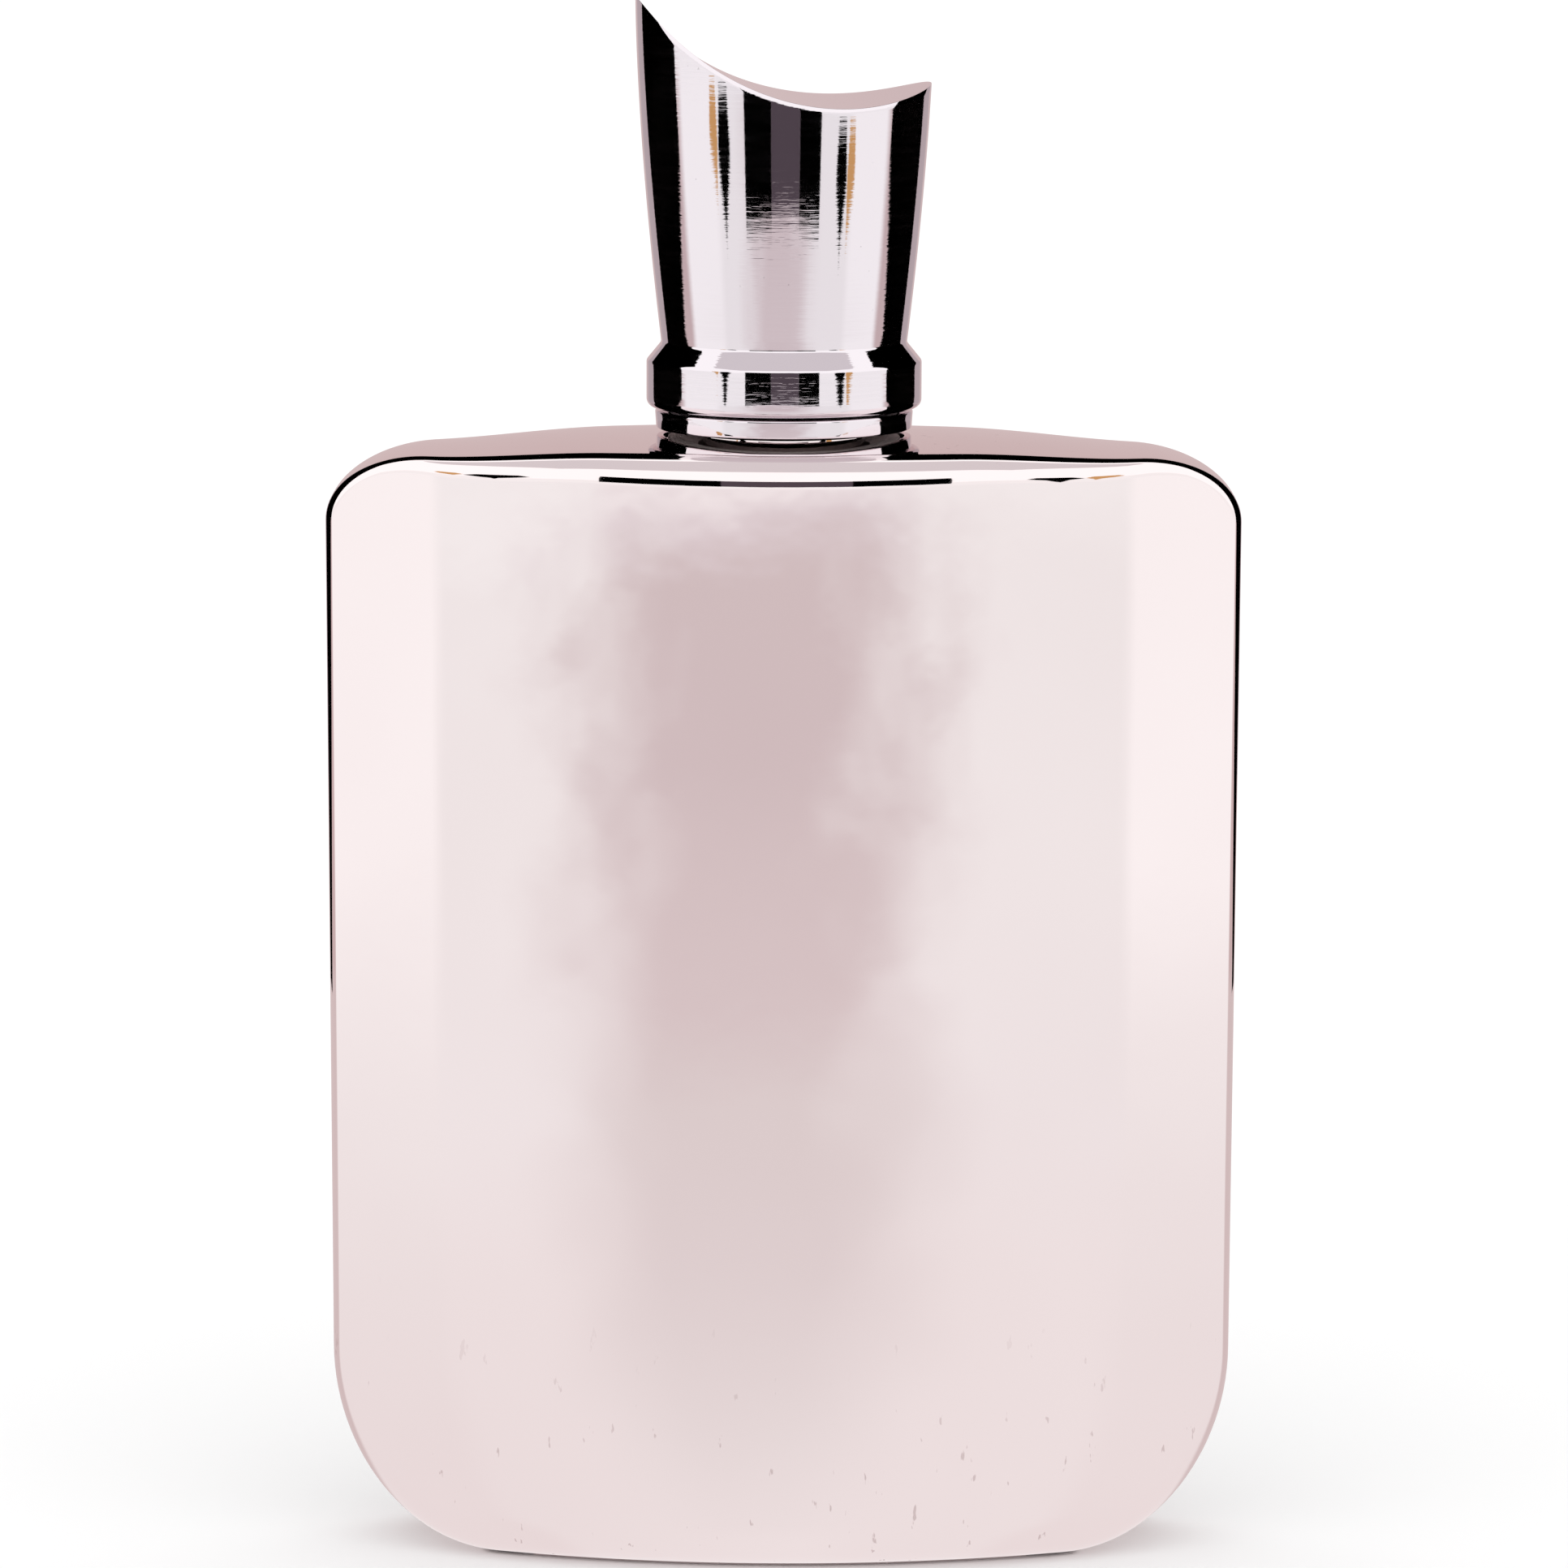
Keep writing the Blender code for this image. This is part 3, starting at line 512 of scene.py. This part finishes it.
def edge_reach(hull, point, normal):
    """Size of the rounding at one outline point: smaller where the body is thin, fuller along the bottom."""
    edge = hull["edge"] * max(SIDE_EDGE_SHARE, face_depth(point[0]) / HALF_THICKNESS)
    reach = edge + (hull["bottom_edge"] - edge) * max(0.0, -normal.y) ** 2
    return min(reach, hull_depth(hull, point[0]) - THIN_EDGE)


def outline_normals(loop):
    """The outward direction at each point of the outline, from its two neighbours."""
    normals = []
    for index in range(len(loop)):
        before = Vector(loop[index - 1])
        after = Vector(loop[(index + 1) % len(loop)])
        along = (after - before).normalized()
        normals.append(Vector((along.y, -along.x)))
    return normals


def edge_point(hull, point, normal, angle, side):
    """A point on the rounded edge; angle 0 is the side wall and 90 degrees the face."""
    reach = edge_reach(hull, point, normal)
    inset = reach * (1.0 - math.cos(angle))
    x = point[0] - normal.x * inset
    y = side * (hull_depth(hull, x) - reach * (1.0 - math.sin(angle)))
    return crowned(hull, x, y, point[1] - normal.y * inset, normal)


def wall_point(hull, point, normal, level):
    """A point on the side wall between the front rounding (level 0) and the back one (level 1)."""
    reach = edge_reach(hull, point, normal)
    y = (hull_depth(hull, point[0]) - reach) * (2.0 * level - 1.0)
    return crowned(hull, point[0], y, point[1], normal)


def crowned(hull, x, y, z, normal):
    """The shoulder is slightly domed from front to back."""
    if hull["domed"] and normal.y > 0.0:
        z += (face_depth(x) ** 2 - y ** 2) / (2.0 * SHOULDER_CROWN_RADIUS) * normal.y
    return Vector((x, y, z))


def hull_mesh(hull):
    """A closed lens-shaped body with rounded edges."""
    runs = outline(hull)
    loop = [point for run in runs for point in run]
    normals = outline_normals(loop)
    edge_steps = wall_steps = hull["steps"][3]
    rings = []
    for step in range(edge_steps + 1):
        angle = math.radians(90.0 * (edge_steps - step) / edge_steps)
        rings.append([edge_point(hull, p, n, angle, -1) for p, n in zip(loop, normals)])
    for step in range(1, wall_steps):
        rings.append([wall_point(hull, p, n, step / wall_steps) for p, n in zip(loop, normals)])
    for step in range(edge_steps + 1):
        angle = math.radians(90.0 * step / edge_steps)
        rings.append([edge_point(hull, p, n, angle, 1) for p, n in zip(loop, normals)])
    builder = bmesh.new()
    made = [[builder.verts.new(point) for point in ring] for ring in rings]
    count = len(loop)
    for first, second in zip(made, made[1:]):
        for index in range(count):
            after = (index + 1) % count
            builder.faces.new((first[index], second[index], second[after], first[after]))
    lengths = [len(run) for run in runs]
    for ring, side in ((made[0], -1), (made[-1], 1)):
        fill_face(builder, hull, ring, lengths, side)
    return builder


def fill_face(builder, hull, ring, lengths, side):
    """Fill one face of the body with a grid that follows its plan curve."""
    closed = ring + ring[:1]
    sides = []
    start = 0
    for length in lengths:
        sides.append(closed[start:start + length + 1])
        start += length
    bottom, right = sides[0], sides[1]
    top, left = sides[2][::-1], sides[3][::-1]
    rows, columns = len(right), len(bottom)

    def flat(vert):
        return Vector((vert.co.x, vert.co.z))

    grid = [[None] * columns for _ in range(rows)]
    for column in range(columns):
        grid[0][column] = bottom[column]
        grid[-1][column] = top[column]
    for row in range(rows):
        grid[row][0] = left[row]
        grid[row][-1] = right[row]
    for row in range(1, rows - 1):
        v = row / (rows - 1)
        for column in range(1, columns - 1):
            u = column / (columns - 1)
            point = flat(bottom[column]) * (1 - v) + flat(top[column]) * v
            point += flat(left[row]) * (1 - u) + flat(right[row]) * u
            point -= flat(bottom[0]) * (1 - u) * (1 - v) + flat(bottom[-1]) * u * (1 - v)
            point -= flat(top[0]) * (1 - u) * v + flat(top[-1]) * u * v
            grid[row][column] = builder.verts.new((point.x, side * hull_depth(hull, point.x), point.y))
    for row in range(rows - 1):
        for column in range(columns - 1):
            corners = (grid[row][column], grid[row][column + 1],
                       grid[row + 1][column + 1], grid[row + 1][column])
            builder.faces.new(corners if side < 0 else corners[::-1])


def foot_mesh():
    """The low pad under the body, with a small rounded lower edge."""
    builder = bmesh.new()
    steps = 60
    end_roundness = 2.2
    # each level is a height and how much smaller the pad is there
    levels = [(0.0, 0.3 * MM), (0.06 * MM, 0.12 * MM), (0.2 * MM, 0.02 * MM), (0.35 * MM, 0.0), (3.2 * MM, 0.0)]
    rings = []
    for height, shrink in levels:
        half = FOOT_HALF_WIDTH - shrink
        front = []
        for step in range(-steps, steps + 1):
            x = half * math.sin(0.5 * math.pi * step / steps)
            room = math.sqrt(max(0.0, 1.0 - (x / half) ** 2))
            front.append((x, (face_depth(x) - FOOT_INSET - shrink) * min(1.0, end_roundness * room)))
        ring = [builder.verts.new((x, -y, height)) for x, y in front]
        ring += [builder.verts.new((x, y, height)) for x, y in reversed(front[1:-1])]
        rings.append(ring)
    bridge(builder, rings)
    builder.faces.new(rings[0][::-1])
    builder.faces.new(rings[-1])
    return builder


def neck_profile():
    """The solid neck with its crimp bead and a flare onto the shoulder; the bore is cut later."""
    profile = [(0.0, NECK_ROOT_Z), (0.0, NECK_TOP_Z)]
    profile += arc_points((BEAD_RADIUS - BEAD_TOP_ROUND, NECK_TOP_Z - BEAD_TOP_ROUND), BEAD_TOP_ROUND, 90, 0, 6)
    profile += arc_points((BEAD_RADIUS - BEAD_LOW_ROUND, BEAD_LOW_Z), BEAD_LOW_ROUND, 0, -70, 5)
    profile += [(NECK_RADIUS, BEAD_FOOT_Z)]
    profile += arc_points((NECK_RADIUS + NECK_FLARE, NECK_FLARE_Z + NECK_FLARE), NECK_FLARE, 180, 270, 8)
    profile += [(NECK_RADIUS + NECK_FLARE, NECK_ROOT_Z)]
    return profile


def bore_profile():
    """The neck bore, with a small bevel at the rim and a flare where it opens into the chamber."""
    above = 1.0 * MM
    throat = BORE_RADIUS + THROAT_FLARE
    low = SHOULDER_Z - TOP_WALL - 4.0 * MM
    return [(0.0, low), (0.0, NECK_TOP_Z + above), (BORE_RADIUS + above + BORE_BEVEL, NECK_TOP_Z + above),
            (BORE_RADIUS, NECK_TOP_Z - BORE_BEVEL), (BORE_RADIUS, SHOULDER_Z - 1.5 * MM),
            (throat, SHOULDER_Z - TOP_WALL - 0.5 * MM), (throat, low)]


def combine(target, other, operation):
    """Join another closed piece onto the target, or cut it away, then discard it."""
    modifier = target.modifiers.new("combine", 'BOOLEAN')
    modifier.operation = operation
    modifier.solver = 'EXACT'
    modifier.object = other
    apply_modifiers(target)
    bpy.data.objects.remove(other, do_unlink=True)


def apply_modifiers(item):
    """Bake an object's modifiers into its mesh."""
    graph = bpy.context.evaluated_depsgraph_get()
    mesh = bpy.data.meshes.new_from_object(item.evaluated_get(graph))
    item.modifiers.clear()
    item.data = mesh


def build_bottle(material):
    """The glass: outer hull, foot pad and neck welded, then the chamber and the bore cut out."""
    bottle = finish_mesh("bottle_glass_fine", hull_mesh(OUTSIDE), material, BODY_SHARP)
    for name, builder, operation in (("foot_part", foot_mesh(), 'UNION'),
                                     ("neck_part", turned(neck_profile(), 96), 'UNION'),
                                     ("chamber_part", hull_mesh(CHAMBER), 'DIFFERENCE'),
                                     ("bore_part", turned(bore_profile(), 96), 'DIFFERENCE')):
        combine(bottle, finish_mesh(name, builder, material, BODY_SHARP), operation)
    bottle.data.shade_smooth()
    bottle.data.set_sharp_from_angle(angle=math.radians(BODY_SHARP))
    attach(bottle, "flacon")
    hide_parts("bottle_glass")


# ---------------------------------------------------------------- cap and collar

def cone_radius(z):
    """Radius of the flared wall; the flare is steepest at the foot."""
    t = max(0.0, (z - CONE_FOOT_Z) / (CAP_TIP_Z - CONE_FOOT_Z))
    return CONE_FOOT_RADIUS + (CONE_TOP_RADIUS - CONE_FOOT_RADIUS) * (1.0 - (1.0 - t) ** CONE_CURVE)


def scoop_height(x, y):
    """Height of the hollowed top over a point in plan."""
    u = x * math.cos(CAP_TURN) + y * math.sin(CAP_TURN) - SCOOP_LOW_U
    return SCOOP_LOW_Z + SCOOP_RADIUS - math.sqrt(max(0.0, SCOOP_RADIUS ** 2 - u ** 2))


def rim_height(angle):
    """Height at which the cone's wall meets the hollow, at one angle around the cap."""
    z = 122.0 * MM    # a first guess that the loop refines
    for _ in range(30):
        radius = cone_radius(z)
        z = min(CAP_TIP_Z, scoop_height(radius * math.cos(angle), radius * math.sin(angle)))
    return z


def cap_foot_profile():
    """Bore, foot, ring and chamfer of the cap, up to where the flared wall starts."""
    foot = [(CAP_BORE, CAP_CAVITY_TOP_Z), (CAP_BORE, CAP_FOOT_Z + CAP_FOOT_BEVEL),
            (CAP_BORE + CAP_FOOT_BEVEL, CAP_FOOT_Z)]
    foot += arc_points((RING_RADIUS - RING_CORNER, CAP_FOOT_Z + RING_CORNER), RING_CORNER, -90, 0, 8)
    ring_end = RING_TOP_Z - 0.5 * MM
    ring = [(RING_RADIUS, CAP_FOOT_Z + 1.2 * MM), (RING_RADIUS, ring_end)]
    rounded = softened([(RING_RADIUS, RING_TOP_Z - 1.2 * MM), (RING_RADIUS, RING_TOP_Z),
                        (CONE_FOOT_RADIUS, CONE_FOOT_Z),
                        (cone_radius(CONE_FOOT_Z + 2 * MM), CONE_FOOT_Z + 2 * MM),
                        (0.5 * MM, 110 * MM), (0.5 * MM, 94 * MM)], 0.16 * MM, 5)
    chamfer = [(radius, height) for radius, height in rounded
               if radius > 9.0 * MM and ring_end < height < CONE_FOOT_Z + 1.0 * MM]
    return foot + ring + chamfer


def build_cap(material):
    """The cap as one closed skin: bore, foot, ring, chamfer, flared wall, softened rim and hollow top."""
    segments = 256
    wall_steps = 44
    scoop_steps = 30
    angles = [2.0 * math.pi * step / segments for step in range(segments)]
    rims = [rim_height(angle) for angle in angles]
    wall_start = CONE_FOOT_Z + 1.2 * MM

    def ring(radii, heights):
        return [Vector((radius * math.cos(angle), radius * math.sin(angle), height))
                for angle, radius, height in zip(angles, radii, heights)]

    def hollow_ring(radii, drop):
        row = []
        for angle, radius in zip(angles, radii):
            x, y = radius * math.cos(angle), radius * math.sin(angle)
            row.append(Vector((x, y, min(CAP_TIP_Z, scoop_height(x, y)) - drop)))
        return row

    rows = [ring([radius] * segments, [height] * segments) for radius, height in cap_foot_profile()]
    for step in range(wall_steps + 1):
        t = step / wall_steps
        heights = [wall_start + (rim - RIM_ROUND - wall_start) * t for rim in rims]
        rows.append(ring([cone_radius(height) for height in heights], heights))
    for inset, drop in ((0.012 * MM, 0.012 * MM), (RIM_INSET, 0.0)):
        rows.append(hollow_ring([cone_radius(rim) - inset for rim in rims], drop))
    for step in range(1, scoop_steps):
        t = 1.0 - step / scoop_steps
        rows.append(hollow_ring([(cone_radius(rim) - RIM_INSET) * t for rim in rims], 0.0))

    builder = bmesh.new()
    made = [[builder.verts.new(point) for point in row] for row in rows]
    bridge(builder, made)
    top_pole = builder.verts.new((0.0, 0.0, scoop_height(0.0, 0.0)))
    low_pole = builder.verts.new((0.0, 0.0, CAP_CAVITY_TOP_Z))
    for index in range(segments):
        after = (index + 1) % segments
        builder.faces.new((made[-1][index], made[-1][after], top_pole))
        builder.faces.new((made[0][after], made[0][index], low_pole))
    cap = finish_mesh("cap_shell_fine", builder, material, TURNED_SHARP)
    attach(cap, "cap")
    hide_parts("cap_shell")


def build_collar(material):
    """The collar in cross-section: flange at the foot, tube, and a lip in round the spray head."""
    flange_top = CAP_FOOT_Z - COLLAR_GAP
    tube = COLLAR_TUBE_RADIUS
    inside = tube - COLLAR_SHEET
    lip = HEAD_RADIUS + HEAD_CLEARANCE
    profile = [(lip, COLLAR_TOP_Z), (tube, COLLAR_TOP_Z), (tube, flange_top),
               (COLLAR_FLANGE_RADIUS, flange_top), (COLLAR_FOOT_RADIUS, COLLAR_FOOT_Z),
               (COLLAR_BORE, COLLAR_FOOT_Z), (COLLAR_BORE, COLLAR_STEP[0]),
               (inside, COLLAR_STEP[1]), (inside, COLLAR_TOP_Z - COLLAR_SHEET),
               (lip, COLLAR_TOP_Z - COLLAR_SHEET)]
    rounded = softened(profile, 0.2 * MM, 6)
    collar = finish_mesh("collar_fine", turned(rounded, 192), material, TURNED_SHARP)
    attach(collar, "flacon")
    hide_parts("collar")


def build_return_spring(material):
    """The main spring as its own coil, built at its resting length."""
    builder = bmesh.new()
    around_wire = 12
    per_turn = 40
    count = int(SPRING_TURNS * per_turn)
    low, high = SPRING_SPAN
    slope = math.atan2(high - low, 2.0 * math.pi * SPRING_RADIUS * SPRING_TURNS)
    rings = []
    for index in range(count + 1):
        t = index / count
        angle = 2.0 * math.pi * SPRING_TURNS * t
        outward = Vector((math.cos(angle), math.sin(angle), 0.0))
        along = Vector((-math.sin(angle) * math.cos(slope), math.cos(angle) * math.cos(slope),
                        math.sin(slope)))
        upward = outward.cross(along)
        centre = outward * SPRING_RADIUS + Vector((0.0, 0.0, low + (high - low) * t))
        ring = []
        for step in range(around_wire):
            turn = 2.0 * math.pi * step / around_wire
            offset = (outward * math.cos(turn) + upward * math.sin(turn)) * SPRING_WIRE
            ring.append(builder.verts.new(centre + offset))
        rings.append(ring)
    bridge(builder, rings)
    builder.faces.new(rings[0][::-1])
    builder.faces.new(rings[-1])
    spring = finish_mesh("return_spring_fine", builder, material, SPRING_SHARP)
    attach(spring, "flacon")
    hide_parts("return_spring")
    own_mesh(spring)


# ---------------------------------------------------------------- studio

def glow_material(name):
    """A material that only gives off light; its colour is set by the caller."""
    material = bpy.data.materials.new(name)
    material.use_nodes = True
    tree = material.node_tree
    tree.nodes.clear()
    light = add_node(tree, "ShaderNodeEmission", Strength=1.0)
    output = tree.nodes.new("ShaderNodeOutputMaterial")
    tree.links.new(light.outputs["Emission"], output.inputs["Surface"])
    return material, tree, light.inputs["Color"]


def emitter(name, colour):
    """A surface that gives off one even colour."""
    material, _, light_colour = glow_material(name)
    light_colour.default_value = (*colour, 1.0)
    return material


def reflected_only(name, points, faces, material):
    """A studio surface that only shows in reflections."""
    mesh = bpy.data.meshes.new(name)
    mesh.from_pydata(points, [], faces)
    mesh.materials.append(material)
    item = bpy.data.objects.new(name, mesh)
    bpy.context.collection.objects.link(item)
    item.visible_camera = False
    item.visible_diffuse = False
    item.visible_shadow = False
    item.visible_transmission = False


def around(azimuth, distance):
    """A plan position seen from the object; azimuth 0 is straight towards the camera, positive to the right."""
    angle = math.radians(azimuth)
    return distance * math.sin(angle), -distance * math.cos(angle)


def upright_board(name, azimuths, distance, heights, material, pieces=6):
    """A curved board standing around the object; azimuths and heights are (first, last) pairs."""
    bottom, top = [], []
    for step in range(pieces + 1):
        x, y = around(azimuths[0] + (azimuths[1] - azimuths[0]) * step / pieces, distance)
        bottom.append((x, y, heights[0]))
        top.append((x, y, heights[1]))
    faces = [(i, i + 1, pieces + 2 + i, pieces + 1 + i) for i in range(pieces)]
    reflected_only(name, bottom + top, faces, material)


def tapered_strip(name, azimuths, foot_azimuth, distance, heights, material):
    """A narrow upright strip, widest in its upper half, that runs to a point at its lower end."""
    low, high = heights
    waist = low + 0.55 * (high - low)
    middle = 0.5 * (azimuths[0] + azimuths[1])
    corners = ((foot_azimuth, low), (azimuths[1], waist), (0.4 * middle + 0.6 * azimuths[1], high),
               (0.4 * middle + 0.6 * azimuths[0], high), (azimuths[0], waist))
    points = [(*around(azimuth, distance), height) for azimuth, height in corners]
    reflected_only(name, points, [tuple(range(len(points)))], material)


def dark_arch(material):
    """A dark ring behind the object, square to the camera: it draws the thin black line round the glass edge."""
    distance = 0.305
    centre = Vector((0.0, 0.0, 0.085))
    back = Vector((0.0, math.cos(CAMERA_PITCH), -math.sin(CAMERA_PITCH)))
    up = Vector((0.0, math.sin(CAMERA_PITCH), math.cos(CAMERA_PITCH)))
    right = Vector((1.0, 0.0, 0.0))
    points = []
    pieces, rows = 48, 6
    for step in range(pieces + 1):
        sweep = math.radians(-118.0 + 236.0 * step / pieces)
        lean = min(1.0, abs(sweep) / math.radians(90.0))
        inner = math.radians(33.0 + 7.0 * lean)
        low = min(1.0, max(0.0, (abs(sweep) - math.radians(94.0)) / math.radians(10.0)))
        outer = math.radians(86.0 - 26.0 * low)
        for row in range(rows + 1):
            angle = inner + (outer - inner) * row / rows
            across = up * math.cos(sweep) + right * math.sin(sweep)
            points.append(centre + (back * math.cos(angle) + across * math.sin(angle)) * distance)
    faces = []
    for step in range(pieces):
        for row in range(rows):
            first = step * (rows + 1) + row
            faces.append((first, first + 1, first + rows + 2, first + rows + 1))
    reflected_only("dark_arch", points, faces, material)


def glow_table():
    """What the glass mirrors of the table top: paler away from the camera, greyer in front of the lens."""
    material, tree, light_colour = glow_material("table_glow_look")
    place = object_coordinates(tree)
    split = split_axes(tree, place)
    length = add_node(tree, "ShaderNodeVectorMath")
    length.operation = 'LENGTH'
    tree.links.new(place, length.inputs[0])
    distance = length.outputs["Value"]
    toward = math_node(tree, 'MULTIPLY', split.outputs["Y"], -1.0)
    azimuth = math_node(tree, 'ARCTAN2', math_node(tree, 'ABSOLUTE', split.outputs["X"]), toward)
    cloud = noise(tree, place, 9.0, 2.0, 0.5).outputs["Fac"]
    drift = math_node(tree, 'MULTIPLY', math_node(tree, 'SUBTRACT', cloud, 0.5), 0.55)
    signed = math_node(tree, 'ADD', math_node(tree, 'ARCTAN2', split.outputs["X"], toward), math.radians(5.0))
    off_lens = math_node(tree, 'ADD', math_node(tree, 'ABSOLUTE', signed), drift)
    lens = ramp(tree, distance, ((0.016, (0.96, 0.924, 0.924)), (0.062, (0.895, 0.86, 0.86)),
                                 (0.135, (0.834, 0.781, 0.785)), (0.22, (0.818, 0.765, 0.765)),
                                 (0.29, (0.765, 0.68, 0.69)), (0.48, (0.72, 0.632, 0.645)),
                                 (0.68, (0.72, 0.635, 0.645)), (0.76, (0.82, 0.76, 0.79)),
                                 (0.84, (1.0, 0.98, 0.99))))
    beside = ramp(tree, distance, ((0.016, (0.95, 0.91, 0.91)), (0.135, (0.96, 0.924, 0.924)),
                                   (0.22, (0.975, 0.96, 0.965)), (0.397, (0.985, 0.98, 0.98)),
                                   (0.72, (0.98, 0.98, 0.98)), (0.84, (1.02, 1.03, 1.03))))
    margin = ramp(tree, distance, ((0.016, (0.85, 0.80, 0.80)), (0.135, (0.87, 0.84, 0.84)),
                                   (0.22, (0.90, 0.885, 0.885)), (0.40, (1.0, 1.0, 1.0))))
    behind = ramp(tree, distance, ((0.0, TABLE_BEHIND_COLOUR), (0.30, TABLE_BEHIND_COLOUR),
                                   (0.32, REAR_COLOUR), (0.9, REAR_COLOUR)))
    front = mix_colour(tree, map_range(tree, off_lens, math.radians(8.0), math.radians(39.0)),
                       lens.outputs["Color"], beside.outputs["Color"])
    brighter = add_node(tree, "ShaderNodeVectorMath")
    brighter.operation = 'SCALE'
    brighter.inputs["Scale"].default_value = 1.09
    tree.links.new(margin.outputs["Color"], brighter.inputs[0])
    wide = mix_colour(tree, map_range(tree, azimuth, math.radians(52.0), math.radians(60.0)),
                      front, brighter.outputs["Vector"])
    whole = mix_colour(tree, map_range(tree, azimuth, math.radians(88.0), math.radians(96.0)),
                       wide, behind.outputs["Color"])
    tree.links.new(whole, light_colour)

    radius, height, segments = 1.0, 0.3 * MM, 64
    angles = [2.0 * math.pi * step / segments for step in range(segments)]
    points = [(radius * math.sin(angle), radius * math.cos(angle), height) for angle in angles]
    reflected_only("table_glow", points, [tuple(range(segments))], material)


def build_studio():
    """Plain floor and soft world light, with boards that show only as reflections in the mirror surfaces."""
    world = bpy.data.worlds.new("soft_studio")
    bpy.context.scene.world = world
    world.use_nodes = True
    background = world.node_tree.nodes["Background"]
    background.inputs["Color"].default_value = (1.0, 1.0, 1.0, 1.0)
    background.inputs["Strength"].default_value = 1.2

    floor_material, _, shader = new_material("floor_look")
    shader.inputs["Base Color"].default_value = (0.88, 0.88, 0.88, 1.0)
    shader.inputs["Roughness"].default_value = 0.9
    shader.inputs["Specular IOR Level"].default_value = 0.0
    mesh = bpy.data.meshes.new("floor")
    size = 12.0
    corners = [(-size, -size, 0), (size, -size, 0), (size, size, 0), (-size, size, 0)]
    mesh.from_pydata(corners, [], [(0, 1, 2, 3)])
    mesh.materials.append(floor_material)
    floor = bpy.data.objects.new("floor", mesh)
    bpy.context.collection.objects.link(floor)
    glow_table()

    black = emitter("black_board_look", (0.0, 0.0, 0.0))
    dark_grey = emitter("dark_grey_board_look", (0.09, 0.07, 0.085))
    tan = emitter("tan_board_look", (0.68, 0.38, 0.15))
    side_grey = emitter("side_board_look", (0.50, 0.42, 0.44))
    rear = emitter("rear_wall_look", REAR_COLOUR)
    ceiling = emitter("ceiling_look", (0.76, 0.72, 0.74))
    dark_arch(black)
    for side, label in ((-1, "left"), (1, "right")):
        upright_board("grey_side_" + label, (side * 138, side * 160), 0.45, (0.0, 0.45), side_grey)
    upright_board("rear_wall", (158, 202), 0.62, (0.0, 0.36), rear, 10)
    reflected_only("ceiling", [(-0.45, -0.5, 0.7), (0.45, -0.5, 0.7), (0.45, 0.05, 0.7), (-0.45, 0.05, 0.7)],
                   [(0, 1, 2, 3)], ceiling)
    near = LENS_DISTANCE
    upright_board("lens_left", (-31.0, -10.2), near, LENS_HEIGHTS, black)
    upright_board("lens_right", (11.6, 28.0), near, LENS_HEIGHTS, black)
    upright_board("lens_gap", (-10.2, 11.6), near + 0.004, LENS_HEIGHTS, dark_grey)
    tapered_strip("stand_left", (-53.0, -42.5), -48.0, near, (0.0825, 0.104), black)
    tapered_strip("stand_left_tan", (-60.0, -53.0), -54.5, near, (0.089, 0.105), tan)
    tapered_strip("stand_right", (40.5, 50.0), 46.0, near, (0.0805, 0.0985), black)
    tapered_strip("stand_right_tan", (50.0, 57.0), 51.5, near, (0.0825, 0.099), tan)


def build_camera():
    """A long lens in front of the object, looking slightly down."""
    data = bpy.data.cameras.new("photo_camera")
    data.lens = CAMERA_LENS
    data.sensor_width = 36.0
    data.clip_end = 50.0
    camera = bpy.data.objects.new("photo_camera", data)
    pitch = CAMERA_PITCH
    camera.location = (CAMERA_X, -CAMERA_REACH * math.cos(pitch), TARGET_Z + CAMERA_REACH * math.sin(pitch))
    roll = Matrix.Rotation(CAMERA_ROLL, 4, 'Z')
    camera.matrix_world = (Matrix.Translation(camera.location)
                           @ Matrix.Rotation(math.radians(90.0) - pitch, 4, 'X') @ roll)
    bpy.context.collection.objects.link(camera)
    bpy.context.scene.camera = camera


def set_looks():
    """Give every CAD node that stays its finished material, and put in the main spring as its own coil."""
    white = moulded("white_moulding_look", (0.84, 0.84, 0.82), 0.38)
    natural = moulded("natural_moulding_look", (0.80, 0.83, 0.83), 0.3, 0.35)
    grey = moulded("grey_moulding_look", (0.30, 0.30, 0.31), 0.4)
    seal = rubber("grey_rubber_look", (0.22, 0.22, 0.23))
    sheet = drawn_metal("aluminium_sheet_look", (0.80, 0.80, 0.81), 0.22)
    wire = drawn_metal("spring_wire_look", (0.62, 0.62, 0.64), 0.18)
    chrome = plated("plated_head_look", (0.80, 0.76, 0.78), 0.000002)
    looks = {
        "cap_insert": white, "collar_liner": white, "stem_guide": white, "stem": white, "actuator_core": white,
        "pump_housing": natural, "dip_tube": natural, "piston": natural, "nozzle_insert": grey,
        "neck_gasket": seal, "stem_seal": seal, "ferrule": sheet,
        "precompression_spring": wire, "check_ball": wire, "actuator_shell": chrome,
    }
    for node, look in looks.items():
        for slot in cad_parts[node].material_slots:
            slot.material = look
    build_return_spring(wire)


bpy.context.scene.view_settings.view_transform = 'Standard'
build_camera()
set_looks()
build_bottle(metallised_glass())
build_cap(plated("plated_cap_look", (0.80, 0.745, 0.78), 0.000006))
build_collar(plated("plated_collar_look", (0.80, 0.745, 0.78), 0.000003))
build_studio()
